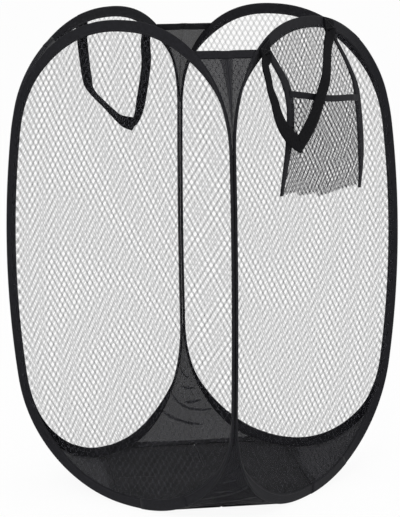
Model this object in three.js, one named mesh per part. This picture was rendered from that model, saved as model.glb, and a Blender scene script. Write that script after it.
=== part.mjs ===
// Pop-up laundry hamper: four oval net panels on spring-wire hoops, sewn edge to edge into a square tube,
// with a fabric base, fabric gussets in the eight corners, two webbing handles and a net pocket.
// Millimetres. +Z is up and the hamper stands on Z = 0. -Y is the side with the pocket.
import * as THREE from "three";

// Whole hamper
const hamper_height = 610;
const corner_half_width = 180; // from the middle to a panel's wire, half way up
const panel_bow = 25; // a panel's top and bottom lean in by this much
const seam_half_length = 156; // the straight sewn seam, above and below mid height
const arc_power = 2.25; // roundness of the oval's ends: 2 is an ellipse
const clearance = 0.3; // between pieces that touch

// Spring wire and its crimped sleeve
const wire_radius = 0.8;
const ferrule_radius = 1.05;
const ferrule_length = 20;
const wire_sides = 5;
const ferrule_sides = 6;

// Edge binding: a tape folded over the wire, its two leaves closing on the net
const tape_thickness = 0.55;
const wire_room_radius = 1.35; // inside of the fold round the wire
const arc_leaf = 12.6; // leaf length from the wire, round the oval's ends
const seam_leaf = 10.1; // the same along the sewn seams
const mouth_half_gap = 0.55; // half the opening between the leaves' free edges
const seam_turn = THREE.MathUtils.degToRad(45); // along the seams the leaf turns into the hamper
const turn_height = 215; // it stays so up to this height from the middle
const turn_run = 85; // and turns back flat over this height
const seam_steps = 4;
const arc_steps = 10;

// Net
const net_thickness = 0.5;
const net_seat = 7; // how deep the net reaches between the leaves
const net_margin = 1; // plain net just outside the leaves
const net_border = 5; // plain net round the field of gaps
const net_pitch_across = 66;
const net_pitch_up = 94;
const net_strand = 4.4;
const least_gap_share = 0.16; // a cut gap smaller than this share of a whole one stays closed

// Corner gussets and their hems
const gusset_thickness = 0.8;
const gusset_tip_gap = 25; // the gusset starts this far past the seam's end, where the tapes let it show
const hem_arc_share = 0.5; // the top hem lies at this share of the quarter arc
const hem_height = 8;
const hem_thickness = 1.8;
const top_fold = 6; // the slack of a top gusset stands out in one fold
const bottom_fold = 5;
const gusset_lap = 6; // a bottom gusset laps onto the base
const fold_shares = [0, 0.3, 1, 0.3, 0]; // the fold's height across a gusset

// Base
const base_thickness = 1;

// Handles: webbing sewn to the top binding at both ends
const webbing_width = 20;
const webbing_thickness = 1.5;
const handle_left = -94; // the sewn ends, measured along the panel from its middle
const handle_right = 46;
const front_handle_drop = 118;
const back_handle_drop = 129;
const sewn_end_drop = 14; // the webbing leaves the binding this far below the wire
const front_handle_standoff = 22; // the front handle hangs over the pocket
const back_handle_standoff = 7;
const front_span_shares = [0, -0.02, -0.07, -0.06, 0.03, 0.19, 0.38, 0.5, 0.72, 1];
const front_drop_shares = [0, 0.12, 0.3, 0.56, 0.82, 0.99, 0.9, 0.77, 0.43, 0];
const back_span_shares = [0, 0.03, 0.02, 0.03, 0.07, 0.19, 0.34, 0.5, 0.72, 0.88, 0.95, 1];
const back_drop_shares = [0, 0.12, 0.36, 0.7, 0.92, 1, 0.95, 0.86, 0.71, 0.56, 0.33, 0];
const handle_settle_share = 0.5; // of the drop, by which the webbing has reached its standoff
const handle_steps = 30;
const nose_shares = [0.95, 0.7, 0.25]; // the webbing's rounded ends, as shares of half its thickness

// Pocket, hung from the front panel's top binding
const pocket_sheet = 0.8;
const pocket_top_left = -80;
const pocket_top_right = 52;
const pocket_mouth_left = -50;
const pocket_mouth_right = 88;
const pocket_bottom_left = -71;
const pocket_bottom_right = 89;
const pocket_edge_power = 0.6; // the sides curve from the top to the mouth
const pocket_left_height = 98; // the bottom's left end, above mid height
const pocket_right_height = 84;
const pocket_bottom_sag = 4;
const pocket_mouth_lift = 22; // the mouth is pulled up at its left end
const pocket_off_net = 1.6; // between the net and the pocket's back layer, at its top
const pocket_hang = 6; // the back layer hangs off the net by up to this more
const pocket_depth = 10;
const pocket_mouth_share = 0.4; // the mouth's place, from the top edge to the bottom
const pocket_front_share = 0.43; // the front layer starts under the mouth's tape
const pocket_hang_share = 0.85;
const pocket_back_shares = [1, 0.85, 0.7, 0.55, 0.4, 0.25, 0.12, 0];
const pocket_front_shares = [1, 0.85, 0.7, 0.55, 0.43];
const pocket_columns = 8;
const pocket_top_tries = 20; // places tried for a side tape's top
const pocket_side_width = 11;
const pocket_mouth_width = 8;
const pocket_mouth_end_gap = 0.9; // from the mouth's tape to the side tapes
const pocket_side_thickness = 2.4;
const pocket_mouth_thickness = 1.6;

// Worked out from the sizes above
const bulge_radius = wire_room_radius + tape_thickness;
const mouth_half_thickness = mouth_half_gap + tape_thickness - clearance / 2;
const half_height = hamper_height / 2 - bulge_radius; // to the wire's centre
const mid_height = hamper_height / 2;
const seam_room = Math.SQRT2 * (bulge_radius + clearance / 2); // each wire stays on its side of the corner
const quarter_steps = seam_steps + arc_steps;
const quarter_turn = Math.PI / 2;
const pocket_layer_gap = pocket_sheet / 2 + 2 * clearance + pocket_mouth_thickness / 2;

const black_tape = new THREE.MeshStandardMaterial({ color: 0x232326, roughness: 0.85 });
const black_net = new THREE.MeshStandardMaterial({ color: 0x2c2c2f, roughness: 0.9 });
const black_tricot = new THREE.MeshStandardMaterial({ color: 0x39393c, roughness: 0.9 });
const black_oxford = new THREE.MeshStandardMaterial({ color: 0x2a2a2c, roughness: 0.8 });
const spring_steel = new THREE.MeshStandardMaterial({ color: 0x8d9095, roughness: 0.35, metalness: 1 });

// A panel leans in by this much at a height from its middle: 0 half way up, negative towards its ends.
function lean(height) {
  return -panel_bow * (height / half_height) ** 2;
}

// The panel's outward normal in its own frame: X along the panel, -Y out of the hamper, Z up.
function outwardNormal(height) {
  const slope = (-2 * panel_bow * height) / half_height ** 2;
  return new THREE.Vector3(0, -1, -slope).normalize();
}

// 1 along the seam and beside the gussets, falling smoothly to 0 past the hems.
function seamNearness(height) {
  return 1 - THREE.MathUtils.smoothstep(Math.abs(height), turn_height, turn_height + turn_run);
}

function leafLength(height) {
  return THREE.MathUtils.lerp(arc_leaf, seam_leaf, seamNearness(height));
}

// How far the net lies inside the wire's surface, because the leaf carries it inwards along the seams.
function netRecess(height) {
  return Math.sin(seam_turn * seamNearness(height)) * (leafLength(height) + net_margin);
}

function onPanel(across, height, outward) {
  return new THREE.Vector3(across, -(lean(height) + outward), height);
}

function onNet(across, height, outward) {
  return onPanel(across, height, outward - netRecess(height));
}

// A quarter of the wire's oval, from the panel's side at mid height to the middle of its end.
function quarterOval() {
  const points = [];
  for (let i = 0; i < seam_steps; i++) {
    const height = (seam_half_length * i) / seam_steps;
    points.push({ across: corner_half_width - seam_room + lean(height), height });
  }
  for (let i = 0; i <= arc_steps; i++) {
    const angle = (quarter_turn * i) / arc_steps;
    const height = seam_half_length + (half_height - seam_half_length) * Math.sin(angle) ** (2 / arc_power);
    const half = corner_half_width - seam_room + lean(height);
    const across = i === arc_steps ? 0 : half * Math.cos(angle) ** (2 / arc_power);
    points.push({ across, height });
  }
  return points;
}

const quarter = quarterOval();

// The whole oval, anticlockwise seen from outside, with the directions that the binding follows.
function ovalStations() {
  const oval = [];
  for (let i = 0; i < quarter_steps; i++) oval.push([quarter[i].across, quarter[i].height]);
  for (let i = quarter_steps; i > 0; i--) oval.push([-quarter[i].across, quarter[i].height]);
  for (let i = 0; i < quarter_steps; i++) oval.push([-quarter[i].across, -quarter[i].height]);
  for (let i = quarter_steps; i > 0; i--) oval.push([quarter[i].across, -quarter[i].height]);
  const centres = oval.map(([across, height]) => onPanel(across, height, 0));
  return centres.map((centre, i) => {
    const before = centres[(i + centres.length - 1) % centres.length];
    const after = centres[(i + 1) % centres.length];
    const along = after.clone().sub(before).normalize();
    const normal = outwardNormal(centre.z);
    const inward = normal.clone().cross(along).normalize();
    const turn = seam_turn * seamNearness(centre.z);
    const leaf = inward.clone().multiplyScalar(Math.cos(turn)).addScaledVector(normal, -Math.sin(turn));
    const face = normal.clone().multiplyScalar(Math.cos(turn)).addScaledVector(inward, Math.sin(turn));
    return { centre, leaf, face, length: leafLength(centre.z) };
  });
}

const stations = ovalStations();
const bottom_station = 3 * quarter_steps;

function fromWire(station, along_leaf, across_leaf) {
  return station.centre
    .clone()
    .addScaledVector(station.leaf, along_leaf)
    .addScaledVector(station.face, across_leaf);
}

// A closed surface from a list of triangles.
function solid(points, triangles) {
  const geometry = new THREE.BufferGeometry();
  geometry.setAttribute("position", new THREE.Float32BufferAttribute(points.flatMap((p) => p.toArray()), 3));
  geometry.setIndex(triangles.flat());
  const flat = geometry.toNonIndexed();
  flat.computeVertexNormals();
  return flat;
}

// Joins rings of points, each anticlockwise seen from ahead, into a tube or a closed loop. A twisting strip
// bends on a diagonal of each step, and the strips that start at the places in turned bend on the other one.
function loft(rings, is_loop, turned = []) {
  const count = rings[0].length;
  const points = rings.flat();
  const triangles = [];
  const spans = is_loop ? rings.length : rings.length - 1;
  for (let i = 0; i < spans; i++) {
    const here = i * count;
    const next = ((i + 1) % rings.length) * count;
    for (let a = 0; a < count; a++) {
      const b = (a + 1) % count;
      if (turned.includes(a)) {
        triangles.push([here + a, here + b, next + a], [here + b, next + b, next + a]);
      } else {
        triangles.push([here + a, here + b, next + b], [here + a, next + b, next + a]);
      }
    }
  }
  if (!is_loop) {
    const last = (rings.length - 1) * count;
    for (let a = 1; a + 1 < count; a++) {
      triangles.push([0, a + 1, a], [last, last + a, last + a + 1]);
    }
  }
  return solid(points, triangles);
}

// A thin sheet of even thickness on a grid of points. Its face is on the side of normals(row, column).
function sheet(grid, normals, thickness) {
  const rows = grid.length;
  const columns = grid[0].length;
  const at = (row, column) => row * columns + column;
  const back_start = rows * columns;
  const front = [];
  const back = [];
  grid.forEach((line, row) =>
    line.forEach((point, column) => {
      const normal = normals[row][column];
      front.push(point.clone().addScaledVector(normal, thickness / 2));
      back.push(point.clone().addScaledVector(normal, -thickness / 2));
    }),
  );
  const triangles = [];
  for (let row = 0; row + 1 < rows; row++) {
    for (let column = 0; column + 1 < columns; column++) {
      const a = at(row, column);
      const b = at(row, column + 1);
      const c = at(row + 1, column + 1);
      const d = at(row + 1, column);
      triangles.push([a, b, c], [a, c, d]);
      triangles.push([back_start + a, back_start + c, back_start + b]);
      triangles.push([back_start + a, back_start + d, back_start + c]);
    }
  }
  const rim = [];
  for (let column = 0; column < columns; column++) rim.push(at(0, column));
  for (let row = 1; row < rows; row++) rim.push(at(row, columns - 1));
  for (let column = columns - 2; column >= 0; column--) rim.push(at(rows - 1, column));
  for (let row = rows - 2; row > 0; row--) rim.push(at(row, 0));
  rim.forEach((a, i) => {
    const b = rim[(i + 1) % rim.length];
    triangles.push([b, a, back_start + a], [b, back_start + a, back_start + b]);
  });
  return solid(front.concat(back), triangles);
}

// Normals of a grid, on the side from which its rows and columns run anticlockwise.
function gridNormals(grid) {
  const difference = (list, i) => {
    const low = list[Math.max(i - 1, 0)];
    const high = list[Math.min(i + 1, list.length - 1)];
    return high.clone().sub(low);
  };
  return grid.map((line, row) =>
    line.map((point, column) => {
      const across = difference(line, column);
      const along = difference(grid.map((other) => other[column]), row);
      return across.cross(along).normalize();
    }),
  );
}

// Flat webbing or tape along a route: each stop has its place, its width's direction and its face's normal.
function ribbon(stops, width, thickness) {
  const rings = stops.map(({ place, side, normal, share = 1 }) => {
    const half_width = side.clone().multiplyScalar(width / 2);
    const half_thickness = normal.clone().multiplyScalar((thickness / 2) * share);
    return [
      place.clone().add(half_width).add(half_thickness),
      place.clone().sub(half_width).add(half_thickness),
      place.clone().sub(half_width).sub(half_thickness),
      place.clone().add(half_width).sub(half_thickness),
    ];
  });
  return loft(rings, false);
}

// The folded binding, as a wedge-shaped U: round the wire, then closing on the net.
function edgeBinding() {
  const diagonal = Math.SQRT1_2;
  const rings = stations.map((station) => {
    const profile = [
      [station.length, mouth_half_thickness],
      [0, bulge_radius],
      [-bulge_radius * diagonal, bulge_radius * diagonal],
      [-bulge_radius, 0],
      [-bulge_radius * diagonal, -bulge_radius * diagonal],
      [0, -bulge_radius],
      [station.length, -mouth_half_thickness],
      [station.length, -mouth_half_gap],
      [0, -wire_room_radius],
      [-wire_room_radius * diagonal, -wire_room_radius * diagonal],
      [-wire_room_radius, 0],
      [-wire_room_radius * diagonal, wire_room_radius * diagonal],
      [0, wire_room_radius],
      [station.length, mouth_half_gap],
    ];
    return profile.map(([along_leaf, across_leaf]) => fromWire(station, along_leaf, across_leaf));
  });
  const back_leaf_outside = 5;
  const front_leaf_inside = 12;
  return loft(rings, true, [back_leaf_outside, front_leaf_inside]);
}

function roundRing(station, radius, sides) {
  return Array.from({ length: sides }, (_, i) => {
    const angle = (2 * Math.PI * i) / sides;
    return fromWire(station, radius * Math.cos(angle), radius * Math.sin(angle));
  });
}

// A place on the wire near its lowest point, at a signed distance along the panel.
function lowStation(across) {
  const middle = stations[bottom_station];
  const beside = stations[bottom_station + Math.sign(across)];
  const share = across / beside.centre.x;
  return { ...middle, centre: middle.centre.clone().lerp(beside.centre, share) };
}

// One length of wire: its two ends meet in the sleeve at the bottom of the oval.
function wireHoop() {
  const end = ferrule_length / 2 + clearance;
  const route = [lowStation(end)];
  for (let i = 1; i < stations.length; i++) {
    route.push(stations[(bottom_station + i) % stations.length]);
  }
  route.push(lowStation(-end));
  return loft(route.map((station) => roundRing(station, wire_radius, wire_sides)), false);
}

function hoopFerrule() {
  const half = ferrule_length / 2;
  const route = [lowStation(-half), stations[bottom_station], lowStation(half)];
  return loft(route.map((station) => roundRing(station, ferrule_radius, ferrule_sides)), false);
}

// Keeps the part of a convex outline that lies inside an anticlockwise convex one.
function clipped(outline, inside) {
  let kept = outline;
  inside.forEach((start, i) => {
    const end = inside[(i + 1) % inside.length];
    const edge = end.clone().sub(start);
    const side = (point) => edge.x * (point.y - start.y) - edge.y * (point.x - start.x);
    const next = [];
    kept.forEach((point, j) => {
      const after = kept[(j + 1) % kept.length];
      const here = side(point);
      const there = side(after);
      if (here >= 0) next.push(point);
      if (here * there < 0) next.push(point.clone().lerp(after, here / (here - there)));
    });
    kept = next;
  });
  return kept;
}

// The net's staggered diamond gaps, on the flat, cut off where the field of gaps ends.
function netGaps() {
  const field = stations
    .filter((_, i) => i % 2 === 0)
    .map((station) => fromWire(station, station.length + net_margin + net_border, 0))
    .map((point) => new THREE.Vector2(point.x, point.z));
  const half_across = net_pitch_across / 2 - net_strand;
  const half_up = (half_across * net_pitch_up) / net_pitch_across;
  const least_area = 2 * half_across * half_up * least_gap_share;
  const columns = Math.ceil((2 * corner_half_width) / net_pitch_across);
  const rows = Math.ceil(hamper_height / net_pitch_up);
  const gaps = [];
  for (let row = -rows; row <= rows; row++) {
    for (let column = -columns; column <= columns; column++) {
      if ((row + column) % 2 !== 0) continue;
      const across = (column * net_pitch_across) / 2;
      const up = (row * net_pitch_up) / 2;
      const diamond = [
        new THREE.Vector2(across + half_across, up),
        new THREE.Vector2(across, up + half_up),
        new THREE.Vector2(across - half_across, up),
        new THREE.Vector2(across, up - half_up),
      ];
      const gap = clipped(diamond, field);
      if (gap.length > 2 && THREE.ShapeUtils.area(gap) > least_area) gaps.push(gap.reverse());
    }
  }
  return gaps;
}

// The net: a bowed sheet with diamond gaps, whose rim follows the leaves down between them.
function meshPanel() {
  const half = net_thickness / 2;
  const rim = stations.map((station) => [
    fromWire(station, station.length - net_seat, half),
    fromWire(station, station.length - net_seat, -half),
  ]);
  const shoulder = stations.map((station) => [
    fromWire(station, station.length + net_margin, half),
    fromWire(station, station.length + net_margin, -half),
  ]);
  const gaps = netGaps();
  const contour = stations.map((station) => {
    const point = fromWire(station, station.length + net_margin, 0);
    return new THREE.Vector2(point.x, point.z);
  });
  const field = gaps.flat().map((point) => {
    const place = onNet(point.x, point.y, 0);
    const normal = outwardNormal(point.y);
    return [
      place.clone().addScaledVector(normal, half),
      place.clone().addScaledVector(normal, -half),
    ];
  });
  const pairs = shoulder.concat(field, rim);
  const count = pairs.length;
  const points = pairs.map((pair) => pair[0]).concat(pairs.map((pair) => pair[1]));
  const triangles = [];
  for (const [a, b, c] of THREE.ShapeUtils.triangulateShape(contour, gaps)) {
    triangles.push([a, b, c], [count + a, count + c, count + b]);
  }
  const wall = (a, b) => {
    triangles.push([b, a, count + a], [b, count + a, count + b]);
  };
  let start = shoulder.length;
  for (const gap of gaps) {
    gap.forEach((_, i) => wall(start + i, start + ((i + 1) % gap.length)));
    start += gap.length;
  }
  shoulder.forEach((_, a) => {
    const b = (a + 1) % shoulder.length;
    const outer_a = start + a;
    const outer_b = start + b;
    triangles.push([a, outer_a, outer_b], [a, outer_b, b]);
    triangles.push([count + a, count + outer_b, count + outer_a], [count + a, count + b, count + outer_b]);
    wall(outer_a, outer_b);
  });
  return solid(points, triangles);
}

// The wire's place at a height above the seam's end, and its direction there, on the binding's straight steps.
function wireAtHeight(height) {
  const i = quarter.findIndex((point) => point.height > height);
  const low = quarter[i - 1];
  const high = quarter[i];
  const share = (height - low.height) / (high.height - low.height);
  const along = onPanel(high.across, high.height, 0).sub(onPanel(low.across, low.height, 0)).normalize();
  return { across: THREE.MathUtils.lerp(low.across, high.across, share), along };
}

function wireHeightAt(across) {
  const i = quarter.findIndex((point) => point.across < Math.abs(across));
  const outer = quarter[i - 1];
  const inner = quarter[i];
  const share = (outer.across - Math.abs(across)) / (outer.across - inner.across);
  return THREE.MathUtils.lerp(outer.height, inner.height, share);
}

// Where a gusset meets the front panel's binding at the left corner, on the side that faces the corner.
function gussetEdge(height) {
  const { across, along } = wireAtHeight(Math.abs(height));
  along.multiply(new THREE.Vector3(-1, 1, Math.sign(height)));
  const beside = new THREE.Vector3(-1, 1, 0).projectOnPlane(along).setLength(bulge_radius + clearance);
  const edge = onPanel(-across, height, 0).add(beside);
  return edge.add(new THREE.Vector3(0, -corner_half_width, mid_height));
}

// A row of points from the front panel's binding across the corner to the left panel's, with one fold.
function gussetRow(edge, fold) {
  const opposite = new THREE.Vector3(edge.y, edge.x, edge.z);
  const outwards = new THREE.Vector3(-Math.SQRT1_2, -Math.SQRT1_2, 0);
  const last = fold_shares.length - 1;
  return fold_shares.map((share, i) =>
    edge
      .clone()
      .lerp(opposite, i / last)
      .addScaledVector(outwards, share * fold),
  );
}

function gussetFromRows(rows, thickness) {
  return sheet(rows, gridNormals(rows), thickness);
}

const hem_step = seam_steps + Math.round(arc_steps * hem_arc_share);
const hem_level = quarter[hem_step].height;

// The fold grows from nothing at the seam's end to its full height at the hem.
function foldAt(height, full_fold) {
  return full_fold * ((Math.abs(height) - seam_half_length) / (hem_level - seam_half_length));
}

function topGusset() {
  const tip = seam_half_length + gusset_tip_gap;
  const stations = quarter.slice(0, hem_step + 1).map((station) => station.height);
  const levels = [tip, ...stations.filter((height) => height > tip)];
  const rows = levels.map((level) => gussetRow(gussetEdge(level), foldAt(level, top_fold)));
  return gussetFromRows(rows, gusset_thickness);
}

function topHem() {
  const levels = [hem_level + clearance, hem_level + clearance + hem_height];
  const rows = levels.map((level) => gussetRow(gussetEdge(level), top_fold));
  return gussetFromRows(rows, hem_thickness);
}

// The bottom gusset's last row lies on the base, just inside the binding.
function gussetFoot() {
  const foot = gussetEdge(-quarter[quarter_steps - 1].height);
  foot.y += gusset_lap;
  foot.z = base_thickness + clearance + gusset_thickness / 2;
  return foot;
}

function bottomGusset() {
  const rows = [];
  const tip = seam_half_length + gusset_tip_gap;
  for (let i = quarter_steps - 1; quarter[i].height > tip; i--) {
    const level = -quarter[i].height;
    const share = Math.min(1, (quarter_steps - i) / (quarter_steps - hem_step));
    const fold = -bottom_fold * share * (i > hem_step ? 1 : foldAt(level, 1));
    rows.push(gussetRow(gussetEdge(level), fold));
  }
  rows.unshift(gussetRow(gussetFoot(), 0));
  rows.push(gussetRow(gussetEdge(-tip), 0));
  return gussetFromRows(rows, gusset_thickness);
}

// The base: a flat octagon, its short sides against the bindings and its long ones under the gussets.
function basePanel() {
  const foot = gussetFoot();
  const reach = corner_half_width + lean(half_height) - bulge_radius - clearance;
  const corner = -foot.x - foot.y + gusset_lap / 2 - reach;
  const outline = [
    [corner, -reach],
    [reach, -corner],
    [reach, corner],
    [corner, reach],
    [-corner, reach],
    [-reach, corner],
    [-reach, -corner],
    [-corner, -reach],
  ];
  const shape = new THREE.Shape(outline.map(([x, y]) => new THREE.Vector2(x, y)));
  return new THREE.ExtrudeGeometry(shape, { depth: base_thickness, bevelEnabled: false });
}

// Where the handle's webbing folds as it leaves its sewn end.
function handleHinge(across) {
  const height = wireHeightAt(across) - sewn_end_drop;
  const sewn_offset = bulge_radius + clearance + webbing_thickness / 2;
  return onPanel(across, height, sewn_offset + webbing_thickness + clearance);
}

const hinge_left = handleHinge(handle_left);
const hinge_right = handleHinge(handle_right);
const hinge_line = hinge_right.clone().sub(hinge_left).normalize();

// A webbing end sewn flat on the binding's outer leaf, from the fold up to the wire.
function sewnEnd(across) {
  const hinge_height = handleHinge(across).z;
  const offset = bulge_radius + clearance + webbing_thickness / 2;
  const levels = [wireHeightAt(across) - wire_radius, hinge_height + webbing_thickness / 2 + clearance];
  const stops = levels.map((level) => {
    const normal = outwardNormal(level);
    const side = hinge_line.clone();
    return { place: onPanel(across, level, offset), side, normal };
  });
  return ribbon(stops, webbing_width, webbing_thickness);
}

// The hanging loop of webbing: it follows the panel at a standoff, and its ends are round on the hinge.
function handleStrap({ standoff, drop, span_shares, drop_shares }) {
  const bends = span_shares.map((span_share, i) => {
    const across = THREE.MathUtils.lerp(handle_left, handle_right, span_share);
    const line_height = THREE.MathUtils.lerp(hinge_left.z, hinge_right.z, span_share);
    const drop_share = drop_shares[i];
    return new THREE.Vector3(across, drop_share, line_height - drop * drop_share);
  });
  const curve = new THREE.CatmullRomCurve3(bends, false, "centripetal");
  const places = curve.getPoints(handle_steps).map((point) => {
    const settled = THREE.MathUtils.smoothstep(point.y, 0, handle_settle_share);
    const hung = onNet(point.x, point.z, standoff).y;
    const span_share = (point.x - handle_left) / (handle_right - handle_left);
    const at_hinge = THREE.MathUtils.lerp(hinge_left.y, hinge_right.y, span_share);
    return new THREE.Vector3(point.x, THREE.MathUtils.lerp(at_hinge, hung, settled), point.z);
  });
  const last = places.length - 1;
  const stops = places.map((place, i) => {
    const along = places[Math.min(i + 1, last)].clone().sub(places[Math.max(i - 1, 0)]).normalize();
    const outward = outwardNormal(place.z);
    const side = i === 0 || i === last ? hinge_line.clone() : along.clone().cross(outward).normalize();
    if (side.dot(along.clone().cross(outward)) < 0) side.negate();
    return { place, side, normal: along.clone().cross(side).normalize() };
  });
  const rounded = (end, beyond) => {
    const away = beyond.clone().sub(hinge_line.clone().multiplyScalar(beyond.dot(hinge_line))).normalize();
    return nose_shares.map((share) => {
      const reach = (webbing_thickness / 2) * Math.sqrt(1 - share ** 2);
      return { ...end, place: end.place.clone().addScaledVector(away, reach), share };
    });
  };
  const first_nose = rounded(stops[0], places[0].clone().sub(places[1])).reverse();
  const last_nose = rounded(stops[last], places[last].clone().sub(places[last - 1]));
  return ribbon([...first_nose, ...stops, ...last_nose], webbing_width, webbing_thickness);
}

// The pocket's edges at a share of its height, from the binding down to its bottom fold.
function pocketEdges(share) {
  const above_mouth = share < pocket_mouth_share;
  const part = above_mouth
    ? (share / pocket_mouth_share) ** pocket_edge_power
    : (share - pocket_mouth_share) / (1 - pocket_mouth_share);
  const from = above_mouth ? [pocket_top_left, pocket_top_right] : [pocket_mouth_left, pocket_mouth_right];
  const to = above_mouth
    ? [pocket_mouth_left, pocket_mouth_right]
    : [pocket_bottom_left, pocket_bottom_right];
  return [THREE.MathUtils.lerp(from[0], to[0], part), THREE.MathUtils.lerp(from[1], to[1], part)];
}

// The free edge of the binding's leaves at the top of the panel, where the pocket hangs.
function leafEdgeHeight(across) {
  const ends = stations
    .slice(seam_steps, 2 * quarter_steps - seam_steps + 1)
    .map((station) => fromWire(station, station.length, 0));
  const i = ends.findIndex((point) => point.x < across);
  const share = (ends[i - 1].x - across) / (ends[i - 1].x - ends[i].x);
  return THREE.MathUtils.lerp(ends[i - 1].z, ends[i].z, share);
}

// A place on the pocket: share runs down from the top edge, part runs from its left edge to its right.
function onPocket(share, part, outward) {
  const [left, right] = pocketEdges(share);
  const across = THREE.MathUtils.lerp(left, right, part);
  const bottom_line = THREE.MathUtils.lerp(pocket_left_height, pocket_right_height, part);
  const bottom = bottom_line - pocket_bottom_sag * Math.sin(Math.PI * part);
  const near_mouth = Math.min(share / pocket_mouth_share, (1 - share) / (1 - pocket_mouth_share));
  const lift = pocket_mouth_lift * near_mouth * (1 - part) ** 2;
  const height = THREE.MathUtils.lerp(leafEdgeHeight(across) - clearance, bottom, share) + lift;
  const seat = net_thickness / 2 + pocket_off_net + pocket_sheet / 2;
  const hang = pocket_hang * Math.sin(Math.PI * share * pocket_hang_share);
  return onNet(across, height, seat + hang + outward);
}

// How far the front layer stands off the back one: widest at the middle of the mouth.
function pouchDepth(share, part) {
  const across_share = 1 - (2 * part - 1) ** 2;
  const down = (share - pocket_mouth_share) / (1 - pocket_mouth_share);
  return pocket_layer_gap + pocket_depth * across_share * (1 - down ** 2);
}

function pocketGrid(shares, outward) {
  const inset = clearance / (pocket_mouth_right - pocket_mouth_left);
  return shares.map((share) =>
    Array.from({ length: pocket_columns + 1 }, (_, column) => {
      const part = THREE.MathUtils.lerp(inset, 1 - inset, column / pocket_columns);
      return onPocket(share, part, outward(share, part));
    }),
  );
}

function pocketBack() {
  const grid = pocketGrid(pocket_back_shares, () => 0);
  return sheet(grid, gridNormals(grid), pocket_sheet);
}

function pocketFront() {
  const grid = pocketGrid(pocket_front_shares, pouchDepth);
  return sheet(grid, gridNormals(grid), pocket_sheet);
}

// The tape that binds one side of both layers, from the hamper's binding down to the bottom.
function pocketSideBinding(part) {
  const outwards = part === 0 ? -1 : 1;
  const placeAt = (share) => {
    const place = onPocket(share, part, (pocket_side_thickness - pocket_sheet) / 2);
    place.x += outwards * (pocket_side_width / 2 + clearance);
    return place;
  };
  const fits = ({ x, z }) => z < leafEdgeHeight(x + (outwards * pocket_side_width) / 2) - clearance;
  const places = [...pocket_back_shares].reverse().map(placeAt);
  const tries = Array.from({ length: pocket_top_tries }, (_, i) => i / pocket_top_tries);
  places[0] = tries.map((share) => places[0].clone().lerp(places[1], share)).find(fits);
  const stops = places.map((place) => {
    return { place, side: new THREE.Vector3(1, 0, 0), normal: outwardNormal(place.z) };
  });
  return ribbon(stops, pocket_side_width, pocket_side_thickness);
}

// The tape along the mouth, just above the front layer.
function pocketMouthBinding() {
  const share = pocket_mouth_share;
  const inset = pocket_mouth_end_gap / (pocket_mouth_right - pocket_mouth_left);
  const stops = Array.from({ length: pocket_columns + 1 }, (_, column) => {
    const part = THREE.MathUtils.lerp(inset, 1 - inset, column / pocket_columns);
    const place = onPocket(share, part, pouchDepth(share, part));
    return { place, side: new THREE.Vector3(0, 0, 1), normal: outwardNormal(place.z) };
  });
  return ribbon(stops, pocket_mouth_width, pocket_mouth_thickness);
}

const hamper = new THREE.Group();

function place(group, name, geometry, material) {
  const mesh = new THREE.Mesh(geometry, material);
  mesh.name = name;
  group.add(mesh);
}

// A side's frame: X along the panel, -Y out of the hamper, its origin half way up on the wire's surface.
function sideFrame(turn) {
  const side = new THREE.Group();
  side.rotation.z = turn * quarter_turn;
  const frame = new THREE.Group();
  frame.position.set(0, -corner_half_width, mid_height);
  side.add(frame);
  hamper.add(side);
  return frame;
}

const sides = ["front", "right", "back", "left"].map((name, turn) => ({ name, frame: sideFrame(turn) }));
for (const { name, frame } of sides) {
  place(frame, name + "_wire_hoop", wireHoop(), spring_steel);
  place(frame, name + "_hoop_ferrule", hoopFerrule(), spring_steel);
  place(frame, name + "_edge_binding", edgeBinding(), black_tape);
  place(frame, name + "_mesh_panel", meshPanel(), black_net);
}

// Handles on the front and the back, each set off its panel's middle to the same hand.
const front_handle = {
  standoff: front_handle_standoff,
  drop: front_handle_drop,
  span_shares: front_span_shares,
  drop_shares: front_drop_shares,
};
const back_handle = {
  standoff: back_handle_standoff,
  drop: back_handle_drop,
  span_shares: back_span_shares,
  drop_shares: back_drop_shares,
};
for (const { name, frame } of [sides[0], sides[2]]) {
  place(frame, name + "_handle_strap", handleStrap(name === "front" ? front_handle : back_handle), black_tape);
  place(frame, name + "_handle_left_end", sewnEnd(handle_left), black_tape);
  place(frame, name + "_handle_right_end", sewnEnd(handle_right), black_tape);
}

const front = sides[0].frame;
place(front, "pocket_back", pocketBack(), black_net);
place(front, "pocket_front", pocketFront(), black_net);
place(front, "pocket_left_binding", pocketSideBinding(0), black_tape);
place(front, "pocket_right_binding", pocketSideBinding(1), black_tape);
place(front, "pocket_mouth_binding", pocketMouthBinding(), black_tape);

["front_left", "front_right", "back_right", "back_left"].forEach((name, turn) => {
  const corner = new THREE.Group();
  corner.rotation.z = turn * quarter_turn;
  hamper.add(corner);
  place(corner, name + "_top_gusset", topGusset(), black_tricot);
  place(corner, name + "_top_hem", topHem(), black_tape);
  place(corner, name + "_bottom_gusset", bottomGusset(), black_tricot);
});

place(hamper, "base_panel", basePanel(), black_oxford);

export default hamper;
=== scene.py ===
import math

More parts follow.
